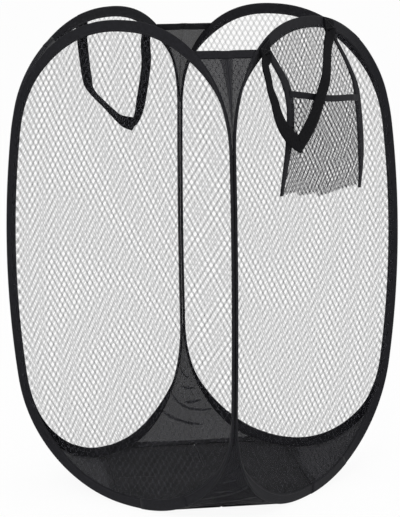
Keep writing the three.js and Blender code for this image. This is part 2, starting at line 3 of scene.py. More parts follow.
import bpy
import numpy as np
from mathutils import Matrix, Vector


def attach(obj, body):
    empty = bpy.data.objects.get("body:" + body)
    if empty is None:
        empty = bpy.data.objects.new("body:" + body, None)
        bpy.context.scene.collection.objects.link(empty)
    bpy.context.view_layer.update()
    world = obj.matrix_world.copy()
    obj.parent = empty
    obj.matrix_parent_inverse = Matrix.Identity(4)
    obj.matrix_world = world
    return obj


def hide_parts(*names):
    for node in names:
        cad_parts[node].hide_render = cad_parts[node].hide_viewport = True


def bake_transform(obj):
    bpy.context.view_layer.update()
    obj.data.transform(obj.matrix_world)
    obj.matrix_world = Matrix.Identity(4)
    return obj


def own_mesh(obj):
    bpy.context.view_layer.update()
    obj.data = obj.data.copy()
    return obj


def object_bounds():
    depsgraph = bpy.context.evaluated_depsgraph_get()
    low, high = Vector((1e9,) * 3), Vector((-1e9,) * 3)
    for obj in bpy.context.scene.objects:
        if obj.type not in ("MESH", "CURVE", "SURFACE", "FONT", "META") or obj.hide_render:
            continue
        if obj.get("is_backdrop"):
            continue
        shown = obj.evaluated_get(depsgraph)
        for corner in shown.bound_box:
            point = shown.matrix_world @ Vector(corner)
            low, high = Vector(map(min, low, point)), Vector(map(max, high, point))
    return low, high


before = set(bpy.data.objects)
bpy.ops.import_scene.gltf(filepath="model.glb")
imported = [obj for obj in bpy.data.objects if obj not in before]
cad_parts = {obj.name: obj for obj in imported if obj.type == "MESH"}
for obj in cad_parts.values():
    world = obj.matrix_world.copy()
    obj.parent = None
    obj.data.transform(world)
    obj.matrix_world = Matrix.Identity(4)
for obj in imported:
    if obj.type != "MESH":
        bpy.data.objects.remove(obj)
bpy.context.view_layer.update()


# Spring wire hoops
# Each panel is held open by one hoop of drawn spring-steel wire, bent to an oval with straight sides.
# The wire is hidden in the edge tape. Its two ends meet in a crimped steel sleeve at the bottom.
MM = 0.001
HALF_WIDTH = 180 * MM
MID_HEIGHT = 305 * MM
WIRE_HALF_HEIGHT = 303.1 * MM
PANEL_BOW = 25 * MM
SEAM_HALF = 156 * MM
OVAL_POWER = 2.25
FOLD_RADIUS = 1.9 * MM
SEAM_ROOM = math.sqrt(2) * (FOLD_RADIUS + 0.15 * MM)
SEAM_LEAF = 10.1 * MM
ARC_LEAF = 12.6 * MM
SEAM_TURN = math.radians(45)
TURN_HEIGHT = 215 * MM
TURN_RUN = 85 * MM
SIDES = ["front", "right", "back", "left"]


def panel_lean(height):
    """How far the bowed panel stands out at a height from its middle: 0 there, negative at its ends."""
    return -PANEL_BOW * (height / WIRE_HALF_HEIGHT) ** 2


def panel_normal(height):
    slope = -2 * PANEL_BOW * height / WIRE_HALF_HEIGHT**2
    normal = np.stack([np.zeros_like(slope), -np.ones_like(slope), -slope], axis=-1)
    return normal / np.linalg.norm(normal, axis=-1, keepdims=True)


def seam_nearness(height):
    """1 along the seam and beside the gussets, falling smoothly to 0 past the hems."""
    share = np.clip((np.abs(height) - TURN_HEIGHT) / TURN_RUN, 0, 1)
    return 1 - share * share * (3 - 2 * share)


def leaf_length(height):
    return ARC_LEAF + (SEAM_LEAF - ARC_LEAF) * seam_nearness(height)


def oval_half_width(height):
    """From a panel's middle line to its wire, at a height from its middle."""
    share = np.clip((np.abs(height) - SEAM_HALF) / (WIRE_HALF_HEIGHT - SEAM_HALF), 0, 1)
    straight = HALF_WIDTH - SEAM_ROOM + panel_lean(height)
    return straight * (1 - share**OVAL_POWER) ** (1 / OVAL_POWER)


def on_panel(across, height, outward):
    across, height, outward = np.broadcast_arrays(across, height, outward)
    return np.stack([across, -(panel_lean(height) + outward), height], axis=-1)


def wire_stations(seam_steps=14, arc_steps=44):
    """Round the wire's oval, anticlockwise seen from outside: its centre, leaf and face directions."""
    seam = np.linspace(0, SEAM_HALF, seam_steps, endpoint=False)
    angle = np.linspace(0, math.pi / 2, arc_steps + 1)
    arc = SEAM_HALF + (WIRE_HALF_HEIGHT - SEAM_HALF) * np.sin(angle) ** (2 / OVAL_POWER)
    height = np.concatenate([seam, arc])
    across = oval_half_width(height)
    across[-1] = 0
    across = np.concatenate([across[:-1], -across[:0:-1], -across[:-1], across[:0:-1]])
    height = np.concatenate([height[:-1], height[:0:-1], -height[:-1], -height[:0:-1]])
    centre = on_panel(across, height, 0)
    along = np.roll(centre, -1, axis=0) - np.roll(centre, 1, axis=0)
    along /= np.linalg.norm(along, axis=1, keepdims=True)
    normal = panel_normal(height)
    inward = np.cross(normal, along)
    inward /= np.linalg.norm(inward, axis=1, keepdims=True)
    turn = (SEAM_TURN * seam_nearness(height))[:, None]
    leaf = inward * np.cos(turn) - normal * np.sin(turn)
    face = normal * np.cos(turn) + inward * np.sin(turn)
    return centre, leaf, face, leaf_length(height), height


def swept_rings(stations, profile):
    """Rings of points, one for each station, from a profile of (along leaf, across leaf) for each."""
    centre, leaf, face = stations[:3]
    return centre[:, None] + profile[..., :1] * leaf[:, None] + profile[..., 1:] * face[:, None]


def in_place(points, side):
    """From a panel's own frame to its side of the hamper."""
    points = np.asarray(points, float) + np.array([0, -HALF_WIDTH, MID_HEIGHT])
    angle = SIDES.index(side) * math.pi / 2
    c, s = round(math.cos(angle)), round(math.sin(angle))
    x, y, z = points[..., 0], points[..., 1], points[..., 2]
    return np.stack([c * x - s * y, s * x + c * y, z], axis=-1)


def ring_faces(rings, sides, closed):
    """Quads that join rings of points, each anticlockwise seen from ahead."""
    i = np.arange(rings if closed else rings - 1)[:, None]
    a = np.arange(sides)[None, :]
    b = (a + 1) % sides
    j = (i + 1) % rings
    faces = np.stack([i * sides + a, i * sides + b, j * sides + b, j * sides + a], axis=-1)
    return faces.reshape(-1, 4).tolist()


def capped_faces(rings, sides):
    """The faces of an open run of rings, with both ends closed."""
    first, last = range(sides)[::-1], range((rings - 1) * sides, rings * sides)
    return ring_faces(rings, sides, False) + [list(first), list(last)]


def make_piece(name, points, faces, material, uv=None):
    """A mesh object with its place in its mesh. uv holds one pair in metres for each point."""
    mesh = bpy.data.meshes.new(name)
    mesh.from_pydata(np.asarray(points).reshape(-1, 3).tolist(), [], faces)
    if uv is not None:
        layer = mesh.uv_layers.new(name="UVMap")
        corner = np.zeros(len(mesh.loops), int)
        mesh.loops.foreach_get("vertex_index", corner)
        layer.data.foreach_set("uv", np.asarray(uv, float).reshape(-1, 2)[corner].ravel())
    mesh.validate()
    mesh.shade_smooth()
    mesh.materials.append(material)
    made = bpy.data.objects.new(name, mesh)
    bpy.context.scene.collection.objects.link(made)
    return made


def linear_colour(hex_code):
    values = [int(hex_code[i:i + 2], 16) / 255 for i in (1, 3, 5)]
    values = [v / 12.92 if v <= 0.04045 else ((v + 0.055) / 1.055) ** 2.4 for v in values]
    return (*values, 1.0)


def set_inputs(tree, node, inputs):
    """Sets each input of a node to a value or an output, the first output where a node is given."""
    for key, value in inputs.items():
        if isinstance(value, bpy.types.Node):
            value = value.outputs[0]
        if isinstance(value, bpy.types.NodeSocket):
            tree.links.new(value, node.inputs[key])
        else:
            node.inputs[key].default_value = value


def add_node(tree, kind, inputs=None, shades=(), **settings):
    """Adds a node with its settings and inputs. A colour ramp's shades are places and hex colours."""
    made = tree.nodes.new(kind)
    for key, value in settings.items():
        setattr(made, key, value)
    for stop, (place, hex_code) in enumerate(shades):
        made.color_ramp.elements[stop].position = place
        made.color_ramp.elements[stop].color = linear_colour(hex_code)
    set_inputs(tree, made, inputs or {})
    return made


def new_material(name):
    material = bpy.data.materials.new(name)
    material.use_nodes = True
    return material, material.node_tree, material.node_tree.nodes["Principled BSDF"]


# Drawn spring steel: grey, with the fine lengthwise scratches of the die.
spring_steel, tree, shader = new_material("drawn_spring_steel")
place = add_node(tree, "ShaderNodeTexCoord").outputs["Object"]
scratches = add_node(tree, "ShaderNodeTexNoise", {"Vector": place, "Scale": 900.0, "Detail": 3.0})
rough = add_node(tree, "ShaderNodeMapRange", {"Value": scratches, "To Min": 0.28, "To Max": 0.46})
set_inputs(tree, shader, {"Base Color": linear_colour("#9a9ea3"), "Metallic": 1.0, "Roughness": rough})


def seam_bend(piece, side):
    """Attaches a front panel's piece to the front panel; any other piece stays fixed where it lies, with
    its place baked into its mesh.
    """
    if side == "front":
        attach(piece, "front_panel")
    elif side == "back":
        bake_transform(piece)
    else:
        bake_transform(piece)


WIRE_RADIUS = 0.8 * MM
WIRE_SIDES = 10
SLEEVE_RADIUS = 1.05 * MM
SLEEVE_HALF = 10 * MM
SLEEVE_RINGS = 17
CRIMP_DEPTH_SHARE = 0.16
SLEEVE_END_SHARE = 0.82
wire_route = wire_stations()
turns = np.arange(WIRE_SIDES) * 2 * math.pi / WIRE_SIDES
round_profile = np.stack([np.cos(turns), np.sin(turns)], axis=-1)[None]
wire_points = swept_rings(wire_route, round_profile * WIRE_RADIUS)
for side in SIDES:
    wire = make_piece(side + "_spring_wire", in_place(wire_points, side),
                      ring_faces(len(wire_points), WIRE_SIDES, True), spring_steel)
    seam_bend(wire, side)
    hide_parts(side + "_wire_hoop")
    # The sleeve is pressed flat in two places, which the thinner rings show.
    spots = np.linspace(-SLEEVE_HALF, SLEEVE_HALF, SLEEVE_RINGS)
    centre = on_panel(spots, -WIRE_HALF_HEIGHT, 0)
    crimp = 1 - CRIMP_DEPTH_SHARE * (np.abs(np.abs(spots) - SLEEVE_HALF / 2) < SLEEVE_HALF / 4)
    crimp[[0, -1]] = SLEEVE_END_SHARE
    normal = panel_normal(np.full_like(spots, -WIRE_HALF_HEIGHT))
    up = np.cross(normal, np.array([1.0, 0, 0]))
    sleeve_rings = swept_rings((centre, up, normal), round_profile * (SLEEVE_RADIUS * crimp)[:, None, None])
    sleeve = make_piece(side + "_crimped_sleeve", in_place(sleeve_rings, side),
                        capped_faces(SLEEVE_RINGS, WIRE_SIDES), spring_steel)
    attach(sleeve, side + "_panel")
    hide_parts(side + "_hoop_ferrule")


# Edge tape
# A woven polyester tape, 24 mm wide, is folded over the wire and over the net's edge and stitched through.
# Along the seams two neighbouring tapes are sewn face to face, so there the leaf turns out of the panel.
TAPE = 0.55 * MM
TAPE_FOLD = 1.5 * MM
MOUTH = 0.95 * MM
MOUTH_INSIDE = 0.55 * MM
FOLD_STEPS = 10


def tape_profiles(lengths, ripple, nearness, growth=0.0):
    """The folded tape's section at each station: round the wire and along both leaves, then back inside.
    ripple waves its free edges, and near a seam the leaf is pressed against its neighbour's.
    growth is for a second layer over the first."""
    rows = []
    fold = np.linspace(math.pi / 2, 3 * math.pi / 2, FOLD_STEPS + 1)
    inner_fold = np.linspace(3 * math.pi / 2, math.pi / 2, 7)
    outside, mouth = TAPE_FOLD + growth, MOUTH + growth
    for length, wave, near in zip(lengths + growth, ripple, nearness):
        shifts = [wave - 0.2 * MM * near, 0.6 * wave - 0.45 * MM * near, 0.2 * wave - 0.8 * MM * near]
        places = [(length - 0.25 * MM, mouth), (length * 0.72, mouth * 1.04),
                  (length * 0.35, mouth + 0.25 * MM)]
        row = [(length, mouth - 0.12 * MM + shifts[0])] + [(x, y + k) for (x, y), k in zip(places, shifts)]
        row += [(outside * math.cos(a), outside * math.sin(a)) for a in fold]
        row += [(x, k - y) for (x, y), k in zip(places[::-1], shifts[::-1])]
        row += [(length, -mouth + 0.12 * MM + shifts[0]), (length, growth - MOUTH_INSIDE + shifts[0])]
        inside = TAPE_FOLD - TAPE
        row += [(inside * math.cos(a), inside * math.sin(a)) for a in inner_fold]
        row += [(length, MOUTH_INSIDE - growth + shifts[0])]
        rows.append(row)
    return np.array(rows)


def smooth_waves(distance, seed, lengths):
    """Gentle waves along a line, the same each run, between -1 and 1."""
    draw = np.random.default_rng(seed)
    total = sum(np.sin(2 * math.pi * distance / wave + draw.uniform(0, 2 * math.pi)) for wave in lengths)
    return total / len(lengths)


# A wave texture repeats each time its scaled place moves on by this much.
WAVE_REPEAT = 2 * math.pi / 20


def dyed_polyester(name, roughness, specular, shades, grain, sheen=(0.0, 0.5), alpha=1.0, waves=(),
                   relief=(0.0, 0.0), by_length=True, blended=False):
    """Dyed polyester. The grain of its filaments, a scale and a detail, shades it between two colours.
    Its waves raise threads or ribs: each has its direction, period, turn in degrees, distortion and detail.
    On a blended cloth waves and grain together do both."""
    material, tree, shader = new_material(name)
    if by_length:
        place = add_node(tree, "ShaderNodeUVMap", uv_map="UVMap").outputs["UV"]
    else:
        place = add_node(tree, "ShaderNodeTexCoord").outputs["Object"]
    tone = add_node(tree, "ShaderNodeTexNoise", {"Vector": place, "Scale": grain[0], "Detail": grain[1]})
    height = None
    for direction, period, turn, distortion, detail in waves:
        angles = (0.0, 0.0, math.radians(turn))
        aim = add_node(tree, "ShaderNodeMapping", {"Vector": place, "Rotation": angles})
        form = {"Vector": aim, "Scale": WAVE_REPEAT / period, "Distortion": distortion, "Detail": detail}
        wave = add_node(tree, "ShaderNodeTexWave", form, bands_direction=direction).outputs["Fac"]
        if height:
            wave = add_node(tree, "ShaderNodeMath", {0: height, 1: wave}, operation="MULTIPLY").outputs[0]
        height = wave
    if blended:
        tone = height = add_node(tree, "ShaderNodeMath", {0: height, 1: tone}, operation="MULTIPLY")
    tint = add_node(tree, "ShaderNodeValToRGB", {"Fac": tone}, shades)
    set_inputs(tree, shader, {"Base Color": tint, "Roughness": roughness, "Specular IOR Level": specular,
                              "Sheen Weight": sheen[0], "Sheen Roughness": sheen[1], "Alpha": alpha})
    if waves:
        form = {"Height": height, "Strength": relief[0], "Distance": relief[1]}
        set_inputs(tree, shader, {"Normal": add_node(tree, "ShaderNodeBump", form)})
    return material


# Polyester grosgrain, dyed black: lengthwise ribs with a soft sheen where they catch the light.
# The real ribs are about 0.5 mm apart, drawn four times as far apart so that they show.
RIB = 1.974 * MM
black_tape = dyed_polyester("black_polyester_grosgrain_tape", 0.72, 0.16,
                            ((0.3, "#131316"), (0.75, "#1e1e23")), (260.0, 4.0), sheen=(0.03, 0.4),
                            waves=[("Y", RIB, 0, 0.4, 1.0)], relief=(0.5, 0.15 * MM))

tape_route = wire_stations()
steps = np.linalg.norm(np.roll(tape_route[0], -1, axis=0) - tape_route[0], axis=1)
tape_distance = np.concatenate([[0], np.cumsum(steps)[:-1]])
tape_total = steps.sum()
STITCH_INSET = 2.2 * MM
LAP_START, LAP_END = 11 * MM, 93 * MM
LAP_GROWTH = 0.45 * MM
RIPPLE = 0.22 * MM
SEAM_PRESS_SHARE = 0.7
tape_waves = {}
for number, side in enumerate(SIDES):
    closed_waves = [tape_total / 61, tape_total / 83, tape_total / 37]
    gather = RIPPLE * smooth_waves(tape_distance, 11 + number, closed_waves)
    gather *= 1 - SEAM_PRESS_SHARE * seam_nearness(tape_route[4])
    tape_waves[side] = gather
    profiles = tape_profiles(tape_route[3], gather, seam_nearness(tape_route[4]))
    sides = profiles.shape[1]
    rings = swept_rings(tape_route, profiles)
    around = np.concatenate([[0], np.cumsum(np.linalg.norm(np.diff(profiles[0], axis=0), axis=1))])
    uv = np.stack(np.broadcast_arrays(tape_distance[:, None], around[None]), axis=-1)
    tape = make_piece(side + "_binding_tape", in_place(rings, side), ring_faces(len(rings), sides, True),
                      black_tape, uv)
    seam_bend(tape, side)
    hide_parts(side + "_edge_binding")
    # The tape's two ends meet at the bottom, where one laps over the other and is cut off straight.
    lap = [i for i, (x, y, z) in enumerate(tape_route[0]) if z < 0 and LAP_START < x < LAP_END]
    lap_route = [part[lap] for part in tape_route]
    lap_profiles = tape_profiles(lap_route[3], gather[lap], seam_nearness(lap_route[4]), LAP_GROWTH)
    lapped = make_piece(side + "_tape_lap", in_place(swept_rings(lap_route, lap_profiles), side),
                        capped_faces(len(lap), sides), black_tape, uv[lap])
    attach(lapped, side + "_panel")


# Stitches
# A lockstitch of black bonded thread runs round each tape, 2.2 mm from the leaf's edge, through both leaves
# and the net. Each stitch is a short raised dash on both faces.
STITCH_PITCH = 4.2 * MM
STITCH_SHARE = 0.78
THREAD_SINK = 0.02 * MM
THREAD = 0.5 * MM

# Bonded nylon thread: a little glossier than the tape.
black_thread = dyed_polyester("black_bonded_nylon_thread", 0.45, 0.3, ((0.0, "#101012"), (1.0, "#26262a")),
                              (1500.0, 2.0), by_length=False)


def new_tree(name, base, sizes, result):
    """A Geometry Nodes tree from a base mesh and named sizes to a result, and what it is given."""
    tree = bpy.data.node_groups.new(name, "GeometryNodeTree")
    tree.interface.new_socket(name=base, in_out="INPUT", socket_type="NodeSocketGeometry")
    for size in sizes:
        tree.interface.new_socket(name=size, in_out="INPUT", socket_type="NodeSocketFloat")
    tree.interface.new_socket(name=result, in_out="OUTPUT", socket_type="NodeSocketGeometry")
    return tree, add_node(tree, "NodeGroupInput").outputs


def close_tree(tree, instances, material, result):
    """Makes the instances real, gives them their material and ends the tree."""
    real = add_node(tree, "GeometryNodeRealizeInstances", {"Geometry": instances})
    painted = add_node(tree, "GeometryNodeSetMaterial", {"Geometry": real, "Material": material})
    add_node(tree, "NodeGroupOutput", {result: painted})
    return tree


def stitch_tree(material):
    """Puts a short raised thread at each pitch along a line, following its direction and its tilt."""
    tree, given = new_tree("stitch_row", "Line", ("Stitch pitch", "Stitch length", "Thread"), "Stitches")
    line = add_node(tree, "GeometryNodeMeshToCurve", {"Mesh": given["Line"]})
    spaced = add_node(tree, "GeometryNodeResampleCurve", {"Curve": line, "Length": given["Stitch pitch"]},
                      mode="LENGTH")
    tangent = add_node(tree, "GeometryNodeInputTangent")
    aim = add_node(tree, "FunctionNodeAlignRotationToVector", {"Vector": tangent}, axis="Z")
    radius = add_node(tree, "ShaderNodeMath", {0: given["Thread"], 1: 0.5}, operation="MULTIPLY")
    dash = add_node(tree, "GeometryNodeMeshCylinder",
                    {"Radius": radius, "Depth": given["Stitch length"], "Vertices": 5})
    rows = add_node(tree, "GeometryNodeInstanceOnPoints",
                    {"Points": spaced, "Instance": dash, "Rotation": aim})
    return close_tree(tree, rows, material, "Stitches")


def grown(name, tree, points, edges, values, faces=()):
    """Runs a Geometry Nodes tree on a base mesh and keeps the result as a plain mesh object."""
    mesh = bpy.data.meshes.new(name + "_base")
    mesh.from_pydata(np.asarray(points).reshape(-1, 3).tolist(), edges, list(faces))
    base = bpy.data.objects.new(name, mesh)
    bpy.context.scene.collection.objects.link(base)
    modifier = base.modifiers.new("grow", "NODES")
    modifier.node_group = tree
    for item in tree.interface.items_tree:
        if item.name in values:
            modifier[item.identifier] = values[item.name]
    graph = bpy.context.evaluated_depsgraph_get()
    result = bpy.data.meshes.new_from_object(base.evaluated_get(graph), preserve_all_data_layers=True,
                                             depsgraph=graph)
    base.modifiers.clear()
    base.data = result
    result.name = name
    bpy.data.meshes.remove(mesh)
    return base


stitch_rows = stitch_tree(black_thread)
for side in SIDES:
    lines, edges = [], []
    for face_sign in (1, -1):
        height = face_sign * (MOUTH + THREAD_SINK) + tape_waves[side]
        spot = np.stack([tape_route[3] - STITCH_INSET, height], axis=-1)[:, None]
        ring = swept_rings(tape_route, spot)[:, 0]
        first = sum(len(line) for line in lines)
        count = len(ring)
        edges += [(first + i, first + (i + 1) % count) for i in range(count)]
        lines.append(in_place(ring, side))
    stitches = grown(side + "_tape_stitches", stitch_rows, np.concatenate(lines), edges,
                     {"Stitch pitch": STITCH_PITCH, "Stitch length": STITCH_PITCH * STITCH_SHARE,
                      "Thread": THREAD})
    seam_bend(stitches, side)


# Net panels
# A warp-knitted polyester net, dyed black, fills each hoop. Its staggered holes are 9.5 mm apart across and
# 13.5 mm apart up, and its cut edge is caught between the tape's leaves. The yarn is a loose flat bundle,
# drawn 3.1 mm wide and nearly clear, which gives the soft look of the real filaments.
NET_ACROSS = 9.5 * MM
NET_UP = 13.5 * MM
NET_YARN = 3.1 * MM
YARN_FLAT = 0.14
NET_RIM = 6.5 * MM
NET_FIELD = (360 * MM, 610 * MM)
NET_DRIFT = 1.1 * MM


def yarn_material(name, alpha):
    """Textured polyester yarn, dyed black: a loose bundle of filaments lies flat and lets light through.
    Its grey, lighter than the tape's, is partly the filaments' own look and partly painted sheen.
    """
    return dyed_polyester(name, 0.85, 0.2, ((0.0, "#2a2a2e"), (1.0, "#48484e")), (700.0, 2.0), alpha=alpha,
                          by_length=False)


def net_tree(material):
    """Staggered knots inside an outline. From each one two flat yarns go up, left and right."""
    sizes = ("Pitch across", "Pitch up", "Yarn", "Flatness", "Field width", "Field height")
    tree, given = new_tree("knitted_net", "Outline", sizes, "Net")
    field = {}
    for axis, pitch, size in (("X", "Pitch across", "Field width"), ("Y", "Pitch up", "Field height")):
        share = add_node(tree, "ShaderNodeMath", {0: given[size], 1: given[pitch]}, operation="DIVIDE")
        whole = add_node(tree, "ShaderNodeMath", {0: share}, operation="CEIL")
        for part, amount, act in (("Size ", given[pitch], "MULTIPLY"), ("Vertices ", 1.0, "ADD")):
            field[part + axis] = add_node(tree, "ShaderNodeMath", {0: whole, 1: amount}, operation=act)
    grid = add_node(tree, "GeometryNodeMeshGrid", field)
    pitch = add_node(tree, "ShaderNodeCombineXYZ", {"X": given["Pitch across"], "Y": given["Pitch up"]})
    right, left, rise = [add_node(tree, "ShaderNodeVectorMath", {0: pitch, 1: shares}, operation="MULTIPLY")
                         for shares in ((0.5, 0.5, 0.0), (-0.5, 0.5, 0.0), (0.0, 0.2, 0.0))]
    moved = add_node(tree, "GeometryNodeTransform", {"Geometry": grid, "Translation": right})
    both = add_node(tree, "GeometryNodeJoinGeometry", {"Geometry": grid})
    set_inputs(tree, both, {"Geometry": moved})
    knots = add_node(tree, "GeometryNodeMeshToPoints", {"Mesh": both})
    # A knot is kept where a ray from just under it meets the outline.
    spot = add_node(tree, "GeometryNodeInputPosition")
    below = add_node(tree, "ShaderNodeVectorMath", {0: spot, 1: (0.0, 0.0, -0.01)}, operation="ADD")
    look = add_node(tree, "GeometryNodeRaycast",
                    {"Target Geometry": given["Outline"], "Source Position": below,
                     "Ray Direction": (0.0, 0.0, 1.0), "Ray Length": 0.1})
    outside = add_node(tree, "FunctionNodeBooleanMath", {0: look}, operation="NOT")
    kept = add_node(tree, "GeometryNodeDeleteGeometry", {"Geometry": knots, "Selection": outside},
                    domain="POINT")
    pair = add_node(tree, "GeometryNodeJoinGeometry")
    for end in (right, left):
        before = add_node(tree, "ShaderNodeVectorMath", {0: end, 1: rise}, operation="SUBTRACT")
        arm = add_node(tree, "GeometryNodeCurvePrimitiveBezierSegment",
                       {"Start": (0.0, 0.0, 0.0), "Start Handle": rise, "End Handle": before, "End": end,
                        "Resolution": 4})
        set_inputs(tree, pair, {"Geometry": arm})
    plain = add_node(tree, "GeometryNodeResampleCurve", {"Curve": pair, "Count": 4})
    # The yarn is drawn together towards the knots.
    along = add_node(tree, "GeometryNodeSplineParameter")
    off = add_node(tree, "ShaderNodeMath", {0: along, 1: 0.5}, operation="SUBTRACT")
    away = add_node(tree, "ShaderNodeMath", {0: off}, operation="ABSOLUTE")
    width = add_node(tree, "ShaderNodeMapRange",
                     {"Value": away, "From Min": 0.15, "From Max": 0.5, "To Min": 1.0, "To Max": 0.8})
    radius = add_node(tree, "ShaderNodeMath", {0: given["Yarn"], 1: 0.5}, operation="MULTIPLY")
    section = add_node(tree, "GeometryNodeCurvePrimitiveCircle", {"Radius": radius, "Resolution": 4})
    round_yarn = add_node(tree, "GeometryNodeCurveToMesh",
                          {"Curve": plain, "Profile Curve": section, "Scale": width})
    squeeze = add_node(tree, "ShaderNodeCombineXYZ", {"X": 1.0, "Y": 1.0, "Z": given["Flatness"]})
    yarn = add_node(tree, "GeometryNodeTransform", {"Geometry": round_yarn, "Scale": squeeze})
    soft = add_node(tree, "GeometryNodeSetShadeSmooth", {"Geometry": yarn})
    laid = add_node(tree, "GeometryNodeInstanceOnPoints", {"Points": kept, "Instance": soft})
    return close_tree(tree, laid, material, "Net")


def flat_points(piece):
    flat = np.zeros(len(piece.data.vertices) * 3)
    piece.data.vertices.foreach_get("co", flat)
    return flat.reshape(-1, 3)


def set_points(piece, points):
    piece.data.vertices.foreach_set("co", np.asarray(points, float).ravel())
    piece.data.update()


def net_recess(across, height):
    """How far inside the wire's surface the net lies: it follows the leaf in, then stays level."""
    reach = np.minimum(np.abs(oval_half_width(height) - np.abs(across)), leaf_length(height) + 1 * MM)
    return np.sin(SEAM_TURN * seam_nearness(height)) * reach


def drifted(across, height, seed, amount):
    """The knitted rows are never quite straight: a slow drift, the same each run."""
    shift_x = smooth_waves(height + 0.3 * across, seed, [0.31, 0.17, 0.083])
    shift_y = smooth_waves(across - 0.2 * height, seed + 5, [0.23, 0.11])
    return across + amount * shift_x, height + amount * shift_y


net_grower = net_tree(yarn_material("black_knitted_polyester_yarn", 0.135))
outline_route = wire_stations(8, 24)
inward = swept_rings(outline_route, np.array([[[NET_RIM, 0.0]]]))[:, 0]
outline = np.stack([inward[:, 0], inward[:, 2], np.zeros(len(inward))], axis=-1)


for number, side in enumerate(SIDES):
    net = grown(side + "_knitted_net", net_grower, outline, [],
                {"Pitch across": NET_ACROSS, "Pitch up": NET_UP, "Yarn": NET_YARN, "Flatness": YARN_FLAT,
                 "Field width": NET_FIELD[0], "Field height": NET_FIELD[1]}, [list(range(len(outline)))])
    flat = flat_points(net)
    across, height = drifted(flat[:, 0], flat[:, 1], 31 + number, NET_DRIFT)
    set_points(net, in_place(on_panel(across, height, flat[:, 2] - net_recess(across, height)), side))
    seam_bend(net, side)
    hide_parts(side + "_mesh_panel")


# Corner gussets
# Triangles of fine warp-knitted tricot, dyed black, close the eight corners where the ovals part. They are
# cut a little wide, so the top ones stand out in one soft fold and the bottom ones wrinkle.
GUSSET = 0.8 * MM
GUSSET_OFFSET = TAPE_FOLD + 0.05 * MM
TIP_GAP = 4 * MM
HEM_HEIGHT = 8 * MM
TOP_FOLD = 6 * MM
HEM_LEVEL = SEAM_HALF + (WIRE_HALF_HEIGHT - SEAM_HALF) * math.sin(math.pi / 4) ** (2 / OVAL_POWER)
WALE = 2.467 * MM
COLUMNS = 24
CORNERS = {"front_left": 0, "front_right": 1, "back_right": 2, "back_left": 3}


def tricot_material(name, alpha):
    """Warp-knit tricot: fine upright wales 2.5 mm apart, five times the real spacing, so that they show. It
    is thin and lets light through, more where it is taut. Copies that let less light through are painted
    shade: in the tuck and along the creases, where the cloth is also doubled, and at the two side corners."""
    return dyed_polyester(name, 0.75, 0.15, ((0.0, "#1b1b1e"), (0.6, "#303035")), (60.0, 5.0),
                          sheen=(0.04, 0.45), alpha=alpha, waves=[("X", WALE, 0, 1.2, 2.0)],
                          relief=(0.5, 0.2 * MM), blended=True)


# Painted shade: the creased, doubled and side copies let less light through, to darken the tuck, the crease
# lines and the two side corners.
taut_tricot = tricot_material("black_warp_knit_tricot_taut", 0.73)
black_tricot = tricot_material("black_warp_knit_tricot", 0.79)
side_shade_tricot = tricot_material("black_warp_knit_tricot_side_painted_shade", 0.92)
creased_shade_tricot = tricot_material("black_warp_knit_tricot_creased_painted_shade", 0.88)
doubled_shade_tricot = tricot_material("black_warp_knit_tricot_doubled_painted_shade", 0.96)


def gusset_edge(height, offset):
    """Where the corner cloth meets the front panel's tape, at the front left corner: beside the wire,
    on the line to the left panel's wire."""
    level = np.abs(height)
    step = 0.05 * MM
    along = on_panel(oval_half_width(level + step), level + step, 0)
    along = along - on_panel(oval_half_width(level - step), level - step, 0)
    along[:, 0] *= -1
    along[:, 2] *= np.sign(height)
    along /= np.linalg.norm(along, axis=1, keepdims=True)
    beside = np.array([-1.0, 1.0, 0.0]) - along * (along[:, [1]] - along[:, [0]])
    beside *= offset / np.linalg.norm(beside, axis=1, keepdims=True)
    return on_panel(-oval_half_width(level), height, 0) + beside + np.array([0, -HALF_WIDTH, MID_HEIGHT])


def corner_grid(edges, folds):
    """Rows of points across the corner, from the front panel's tape to the left panel's."""
    opposite = edges[:, [1, 0, 2]]
    part = np.linspace(0, 1, COLUMNS + 1)[None, :, None]
    points = edges[:, None] * (1 - part) + opposite[:, None] * part
    return points + folds[..., None] * np.array([-math.sqrt(0.5), -math.sqrt(0.5), 0])


def cloth(name, grid, thickness, material, uv):
    """A sheet of even thickness on a grid of points, with its rim closed."""
    rows, columns = grid.shape[:2]
    across = np.gradient(grid, axis=1)
    along = np.gradient(grid, axis=0)
    normal = np.cross(across, along)
    normal /= np.maximum(np.linalg.norm(normal, axis=-1, keepdims=True), 1e-9)
    points = np.concatenate([(grid + normal * thickness / 2).reshape(-1, 3),
                             (grid - normal * thickness / 2).reshape(-1, 3)])
    index = np.arange(rows * columns).reshape(rows, columns)
    a, b = index[:-1, :-1].ravel(), index[:-1, 1:].ravel()
    c, d = index[1:, 1:].ravel(), index[1:, :-1].ravel()
    under = rows * columns
    faces = np.stack([a, b, c, d], axis=-1).tolist()
    faces += (np.stack([d, c, b, a], axis=-1) + under).tolist()
    rim = list(index[0]) + list(index[1:, -1]) + list(index[-1, -2::-1]) + list(index[-2:0:-1, 0])
    faces += [[j, i, i + under, j + under] for i, j in zip(rim, rim[1:] + rim[:1])]
    return make_piece(name, points, faces, material, np.concatenate([uv.reshape(-1, 2)] * 2))


def turned(points, quarter):
    c, s = round(math.cos(quarter * math.pi / 2)), round(math.sin(quarter * math.pi / 2))
    x, y, z = points[..., 0], points[..., 1], points[..., 2]
    return np.stack([c * x - s * y, s * x + c * y, z], axis=-1)


def metric_uv(grid):
    """Flat coordinates in metres: across each row from its middle, and down the middle column."""
    row = np.linalg.norm(np.diff(grid, axis=1), axis=-1)
    across = np.concatenate([np.zeros((len(grid), 1)), np.cumsum(row, axis=1)], axis=1)
    across -= across[:, [-1]] / 2
    middle = grid[:, grid.shape[1] // 2]
    down = np.concatenate([[0], np.cumsum(np.linalg.norm(np.diff(middle, axis=0), axis=-1))])
    return np.stack([across, np.broadcast_to(down[:, None], across.shape)], axis=-1)


